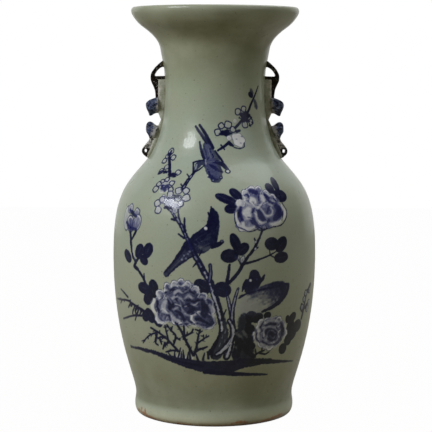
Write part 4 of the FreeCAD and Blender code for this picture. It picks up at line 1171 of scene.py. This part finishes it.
def grid_mesh(name, points, layers):
    """A closed mesh from a grid of points that joins up both ways, with one value per point a layer."""
    tall, wide = points.shape[:2]
    index = np.arange(tall * wide).reshape(tall, wide)
    right, above = np.roll(index, -1, axis=1), np.roll(index, -1, axis=0)
    faces = np.stack([index, right, np.roll(above, -1, axis=1), above], axis=2).reshape(-1, 4)
    mesh = bpy.data.meshes.new(name)
    mesh.vertices.add(tall * wide)
    mesh.vertices.foreach_set("co", points.ravel())
    mesh.loops.add(faces.size)
    mesh.loops.foreach_set("vertex_index", faces.ravel())
    mesh.polygons.add(len(faces))
    mesh.polygons.foreach_set("loop_start", np.arange(len(faces)) * 4)
    mesh.update(calc_edges=True)
    for layer, values in layers.items():
        attribute = mesh.attributes.new(layer, "FLOAT", "POINT")
        attribute.data.foreach_set("value", values.ravel())
    mesh.shade_smooth()
    mesh.set_sharp_from_angle(angle=SHARP_ANGLE)
    return mesh


layers = {"pool": pool}
for name, field in paint.items():
    full = np.zeros((len(outline), len(angles)))
    full[:row_count, :front_count] = field
    layers[name] = full
skin = bpy.data.objects.new("glazed_wall", grid_mesh("glazed_wall", skin_points, layers))
bpy.context.scene.collection.objects.link(skin)
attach(skin, "root")
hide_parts("foot_ring", "lower_body", "shoulder", "neck", "mouth")
print("skin faces", len(skin.data.polygons))

# %% [markdown]
# A glaze here is a colour, a gloss and a faint unevenness, mixed from soft noise and from the painted
# layers. Its nodes could be placed one by one, but the same small groups come back in every glaze,
# so a class holds the material that is being mixed and makes each group by name.

# %% Glaze helpers
GLAZE_IOR, COAT_ROUGHNESS = 1.28, 0.09


class Glaze:
    """A glaze being mixed: its material, and the ways in which its colours vary over the piece.
    Colours are hex values or sockets, and sizes are in millimetres of the real vase."""

    def __init__(self, name):
        self.material = new_material(name)
        self.coords = self.node("TexCoord").outputs["Object"]
        self.up = self.node("SeparateXYZ", Vector=self.coords).outputs["Z"]

    def node(self, kind, settings=None, **inputs):
        return add_node(self.material.node_tree, "ShaderNode" + kind, settings, **inputs)

    def attribute(self, name):
        return self.node("Attribute", {"attribute_name": name}).outputs["Fac"]

    def noise(self, size, detail=3.0, roughness=0.5):
        return self.node("TexNoise", Vector=self.coords, Scale=1 / (size * MM), Detail=detail,
                         Roughness=roughness).outputs["Fac"]

    def calculate(self, operation, a, b, clamp=False):
        return self.node("Math", {"operation": operation, "use_clamp": clamp}, i0=a, i1=b).outputs[0]

    def times(self, a, b):
        return self.calculate("MULTIPLY", a, b)

    def span(self, value, low, high, to_low=0.0, to_high=1.0):
        """The value's place between low and high, clamped, on a new scale."""
        return self.node("MapRange", Value=value, From_Min=low, From_Max=high,
                         To_Min=to_low, To_Max=to_high).outputs[0]

    def patches(self, size, low, high, to_low=0.0, to_high=1.0, detail=3.0, roughness=0.5):
        return self.span(self.noise(size, detail, roughness), low, high, to_low, to_high)

    def wandering(self, value, by, size=4.0):
        """The value with soft noise added, so that a border drawn through it wanders."""
        drift = self.calculate("SUBTRACT", self.noise(size), 0.5)
        return self.calculate("ADD", value, self.times(drift, by))

    def blend(self, share, a, b, kind="MIX"):
        a, b = (linear(colour) if isinstance(colour, str) else colour for colour in (a, b))
        return self.node("Mix", {"data_type": "RGBA", "blend_type": kind},
                         i0=share, i6=a, i7=b).outputs[2]

    def ramp(self, value, stops):
        node = self.node("ValToRGB", Fac=value)
        elements = node.color_ramp.elements
        while len(elements) < len(stops):
            elements.new(1.0)
        for element, (place, colour) in zip(elements, stops):
            element.position = place
            element.color = linear(colour) if isinstance(colour, str) else (*colour, 1)
        return node.outputs[0]

    def fired(self, colour, roughness, bump_size, bump_detail, bump_strength, bump_depth, coat=0.0):
        """The finished material, with a skin that is a little uneven."""
        bump = self.node("Bump", Height=self.noise(bump_size, bump_detail), Strength=bump_strength,
                         Distance=bump_depth * MM)
        surface = self.node("BsdfPrincipled", Base_Color=colour, Roughness=roughness, IOR=GLAZE_IOR,
                            Normal=bump.outputs[0], Coat_Weight=coat, Coat_Roughness=COAT_ROUGHNESS)
        self.node("OutputMaterial", Surface=surface.outputs[0])
        return self.material

print("glaze helpers:", [name for name in vars(Glaze) if not name.startswith("_")])

# %% [markdown]
# Celadon is iron in a clear glaze, so it is never one flat colour: it is greyer where the kiln was
# strong, olive where it lies thick, and it carries small dark specks of iron. Its colour by height also
# holds painted light and shade: lighter on the foot's swell, the shoulder and the lip, darker under the
# mouth.
# The painting sits under it. Cobalt takes light away from whatever it lies on, so its colour is a
# filter over glaze or slip, deepest where the brush left most.

# %% Glaze of the wall
# the glaze's colour with height, as shares of the vase's height: partly its own drift, and partly
# painted light and shade, lighter on the foot's swell, the shoulder and the lip and darker under the
# mouth's flare
GLAZE_TONE_AND_PAINTED_SHADING = [
    (0.0, "#b8ad8a"), (0.018, "#cdcfb6"), (0.032, "#b1b8a3"), (0.044, "#858871"), (0.12, "#8f8f75"),
    (0.22, "#999c87"), (0.5, "#a5ad9b"), (0.66, "#a9b4a5"), (0.80, "#a0a892"), (0.9, "#808166"),
    (0.955, "#7e7d62"), (1.0, "#999d89")]
BARE_CLAY_GLOSS = (0.85, 0.85, 0.85, 1)
# how fast a thin and a heaped layer darken red, green and blue: where the cobalt is blue, and where
# it is drawn greyer
BLUE_COBALT = (3.6, 3.5, 2.7), (1.6, 1.5, -0.25)
GREY_COBALT = (3.6, 3.5, 2.7), (1.6, 1.5, 0.9)
COBALT_STEPS = 8


def cobalt_filter(thin_layer, heaped_layer):
    """What share of red, green and blue each strength of cobalt lets through: a thin wash passes
    its blue, and a heaped stroke turns near black."""
    strengths = [k / (COBALT_STEPS - 1) for k in range(COBALT_STEPS)]
    return [(s, tuple(math.exp(-thin * s - heaped * s * s)
                      for thin, heaped in zip(thin_layer, heaped_layer))) for s in strengths]


def painted_celadon():
    glaze = Glaze("celadon_glaze_over_cobalt_and_slip")
    # the colour by height, with its painted light and shade, then soft clouds in the glaze and grit
    tone = glaze.ramp(glaze.span(glaze.up, 0.0, height), GLAZE_TONE_AND_PAINTED_SHADING)
    clouds = glaze.noise(38, 4.0)
    tone = glaze.blend(glaze.span(clouds, 0.35, 0.7, 0.0, 0.55), tone, "#a6a893")
    tone = glaze.blend(glaze.patches(2.2, 0.3, 0.7, 0.0, 0.10, 2.0), tone, "#6f7563")
    # specks of iron, and thick glaze beside the handles
    specks = glaze.times(glaze.patches(3.2, 0.735, 0.78, detail=1.0), 0.55)
    tone = glaze.blend(specks, tone, "#4b4433")
    pooled = glaze.times(glaze.attribute("pool"), glaze.span(clouds, 0.35, 0.6, 0.15, 0.6))
    tone = glaze.blend(pooled, tone, "#6a6544")
    # white slip, thin in places
    white = glaze.times(glaze.attribute("slip"), glaze.patches(5.0, 0.3, 0.65, 0.8, 1.0))
    tone = glaze.blend(white, tone, "#dededf")
    # cobalt, heaped and speckled, blue in places and greyer in others, and rust
    heaps = glaze.patches(1.7, 0.25, 0.75, 0.78, 1.12, roughness=0.6)
    uneven_wash = glaze.times(heaps, glaze.patches(8.0, 0.3, 0.7, 0.88, 1.08, 2.0))
    strength = glaze.calculate("MULTIPLY", glaze.attribute("cobalt"), uneven_wash, clamp=True)
    blue, grey = (glaze.ramp(strength, cobalt_filter(*kind)) for kind in (BLUE_COBALT, GREY_COBALT))
    tone = glaze.blend(1.0, tone, glaze.blend(glaze.attribute("greying"), blue, grey), "MULTIPLY")
    tone = glaze.blend(glaze.attribute("rust"), tone, "#a8683a")
    # bare clay where the foot stands, burnt brown at its edge
    burnt, bare = (
        glaze.span(glaze.calculate("ADD", glaze.up, glaze.times(clouds, by)), low, high, most, 0.0)
        for by, low, high, most in ((-0.006, -0.003, 0.004, 0.95), (0.0015, 0.0012, 0.0022, 1.0)))
    tone = glaze.blend(bare, glaze.blend(burnt, tone, "#6b4320"), "#8a6a4a")
    gloss = glaze.blend(bare, glaze.patches(14, 0.3, 0.7, 0.27, 0.35), BARE_CLAY_GLOSS)
    return glaze.fired(tone, gloss, 4.5, 2.0, 0.35, 0.35, coat=0.17)


skin.data.materials.append(painted_celadon())
print("full cobalt lets through", [round(share, 3) for share in cobalt_filter(*BLUE_COBALT)[-1][1]])
print(skin.name, "wears", skin.data.materials[0].name)

# %% [markdown]
# The recessed base got only a thin sweep of glaze. It is hidden while the vase stands, so soft noise
# and specks are enough, and the model's own slab wears them.

# %% Glaze of the base
def base_glaze():
    """Thin glaze swept over the recessed base, with iron specks."""
    glaze = Glaze("thin_celadon_glaze_on_base")
    tone = glaze.blend(glaze.patches(22, 0.35, 0.65, detail=4.0), "#a2a593", "#8b8d76")
    tone = glaze.blend(glaze.patches(2.6, 0.70, 0.76, detail=1.0), tone, "#5a4a30")
    return glaze.fired(tone, 0.26, 6.0, 3.0, 0.4, 0.4)


base_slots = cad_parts["base_disc"].data.materials
base_slots.clear()
base_slots.append(base_glaze())
print("materials", [m.name for m in bpy.data.materials if m.users])

# %% [markdown]
# The handles were cut and rolled from clay by hand and luted on, and the glaze rounded every edge.
# So each solid of the model is copied, rebuilt in half-millimetre cells, smoothed until its corners
# run, given the thickness of its glaze and a little unevenness of the hand, and let into the wall,
# where slip filled the join. The copy stands for its solid; the solid itself stays as it is.

# %% Shapes of the handle pieces
CELL, SMOOTHING_ROUNDS = 0.5 * MM, 7
GLAZE_THICKNESS, HAND_WAVER, WAVER_LENGTH = 0.28 * MM, 0.22 * MM, 6 * MM
JOIN_REACH, JOIN_DEPTH = 1.6 * MM, 1.5 * MM
FILLET, FILLET_REACH = 0.7 * MM, 2.5 * MM
POOL_REACH, HANDLE_REACH = 3.0 * MM, 27 * MM


def wall_gap(points):
    """How far points in metres stand off the wall."""
    return np.hypot(points[:, 0], points[:, 1]) - radius_at(points[:, 2] / MM) * MM


def rounded_copy(node):
    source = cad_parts[node]
    copy = bpy.data.objects.new(node + "_glazed", source.data.copy())
    copy.data.materials.clear()
    bpy.context.scene.collection.objects.link(copy)
    remesh = copy.modifiers.new("cells", "REMESH")
    remesh.mode, remesh.voxel_size = "VOXEL", CELL
    smooth = copy.modifiers.new("run", "SMOOTH")
    smooth.factor, smooth.iterations = 0.5, SMOOTHING_ROUNDS
    seen = copy.evaluated_get(bpy.context.evaluated_depsgraph_get())
    shaped = bpy.data.meshes.new_from_object(seen)
    copy.modifiers.clear()
    copy.data = shaped
    count = len(shaped.vertices)
    points, normals = np.empty(count * 3), np.empty(count * 3)
    shaped.vertices.foreach_get("co", points)
    shaped.vertex_normals.foreach_get("vector", normals)
    points, normals = points.reshape(-1, 3), normals.reshape(-1, 3)
    waver = np.array([noise_at(Vector(point) / WAVER_LENGTH) for point in points])[:, None]
    gap = wall_gap(points)
    near = np.clip(1 - gap / FILLET_REACH, 0, 1)[:, None]
    points = points + normals * (GLAZE_THICKNESS + HAND_WAVER * waver + FILLET * near ** 2)
    inward = np.column_stack([points[:, :2], np.zeros(count)])
    inward /= np.linalg.norm(inward, axis=1)[:, None]
    points -= inward * JOIN_DEPTH * np.clip(1 - gap / JOIN_REACH, 0, 1)[:, None]
    shaped.vertices.foreach_set("co", points.ravel())
    pooled = np.clip(1 - gap / POOL_REACH, 0, 1)
    for layer, values in (("pool", pooled), ("reach", gap / HANDLE_REACH)):
        shaped.attributes.new(layer, "FLOAT", "POINT").data.foreach_set("value", values)
    shaped.update()
    shaped.shade_smooth()
    return copy


print("cells in mm", round(CELL / MM, 2))

# %% [markdown]
# Four glazes were put on the handles: pale slip on the plates, iron brown on the loops, cobalt on the
# heads, and slip under iron brown on the small scrolls. Each is worn and run, most of all far out.

# %% Glazes of the handle pieces
def outward(glaze, low, high):
    """0 near the wall, 1 far out, with an uneven border between."""
    return glaze.span(glaze.wandering(glaze.attribute("reach"), 0.5), low, high)


def plate_tone(glaze):
    tone = glaze.blend(glaze.patches(9, 0.35, 0.65), "#adafa0", "#959682")
    worn = glaze.times(outward(glaze, 0.12, 0.34), glaze.patches(4, 0.40, 0.56, 0.0, 1.0, 4.0, 0.6))
    tone = glaze.blend(worn, tone, "#cdc8c0")
    return glaze.blend(glaze.patches(2.6, 0.63, 0.72, 0.0, 0.7), tone, "#4a402c")


def strap_tone(glaze):
    tone = glaze.blend(glaze.patches(4, 0.4, 0.7), "#0f0d0b", "#2a2118")
    # pale specks on the black: partly slip showing through, partly painted glints where the gloss
    # catches light
    return glaze.blend(glaze.patches(3.0, 0.60, 0.67, 0.0, 0.85, 4.0, 0.65), tone, "#b4b1ad")


def scroll_tone(glaze):
    """The small scroll: bare slip where it leaves the head, black where it curls."""
    pale = glaze.span(glaze.wandering(glaze.up, 0.024), 0.379, 0.385, 0.0, 0.9)
    slip = glaze.blend(glaze.patches(2.4, 0.42, 0.60), "#cfcbc6", "#5a574e")
    return glaze.blend(pale, strap_tone(glaze), slip)


def head_tone(glaze):
    tone = glaze.blend(glaze.patches(4.5, 0.38, 0.62), "#1d2136", "#596280")
    tone = glaze.blend(outward(glaze, 0.34, 0.50), "#a8a5a4", tone)
    tone = glaze.blend(glaze.patches(2.6, 0.60, 0.70, 0.0, 0.75, 4.0, 0.6), tone, "#a4a9b8")
    return glaze.blend(glaze.patches(3.1, 0.53, 0.64, 0.0, 0.9, 3.0, 0.6), tone, "#14141c")


def dipped(name, tone_of):
    """A glossy glaze over the colour that tone_of gives, thicker where it pooled at the wall."""
    glaze = Glaze(name)
    pooled = glaze.times(glaze.attribute("pool"), glaze.patches(7, 0.40, 0.60, 0.1, 0.75, 2.0))
    tone = glaze.blend(pooled, tone_of(glaze), "#5d5638")
    return glaze.fired(tone, glaze.patches(5, 0.3, 0.7, 0.12, 0.24, 2.0), 1.6, 3.0, 0.5, 0.12)


HANDLE_FINISHES = {
    "plate": ("pale_slip", dipped("pale_slip_under_worn_glaze", plate_tone)),
    "loop": ("iron_brown_glaze", dipped("iron_brown_glaze_over_slip_with_painted_glints", strap_tone)),
    "head": ("cobalt_glaze", dipped("cobalt_under_clear_glaze", head_tone)),
    "scroll": ("iron_brown_glaze", dipped("iron_brown_glaze_run_off_slip", scroll_tone)),
}
print("handle glazes", list(HANDLE_FINISHES))

# %% [markdown]
# Both handles are treated alike. Each rounded copy takes the place of its own solid and gets the
# glaze of its kind.

# %% Put the handles on
for side in ("left", "right"):
    for part in ("plate", "upper_loop", "upper_head", "lower_head", "lower_loop"):
        node = f"{side}_handle_{part}"
        piece = rounded_copy(node)
        slot, material = HANDLE_FINISHES["scroll" if part == "lower_loop" else part.split("_")[-1]]
        piece.data.materials.append(material)
        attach(piece, "root")
        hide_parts(node)
        print(piece.name, "faces", len(piece.data.polygons))

# %% [markdown]
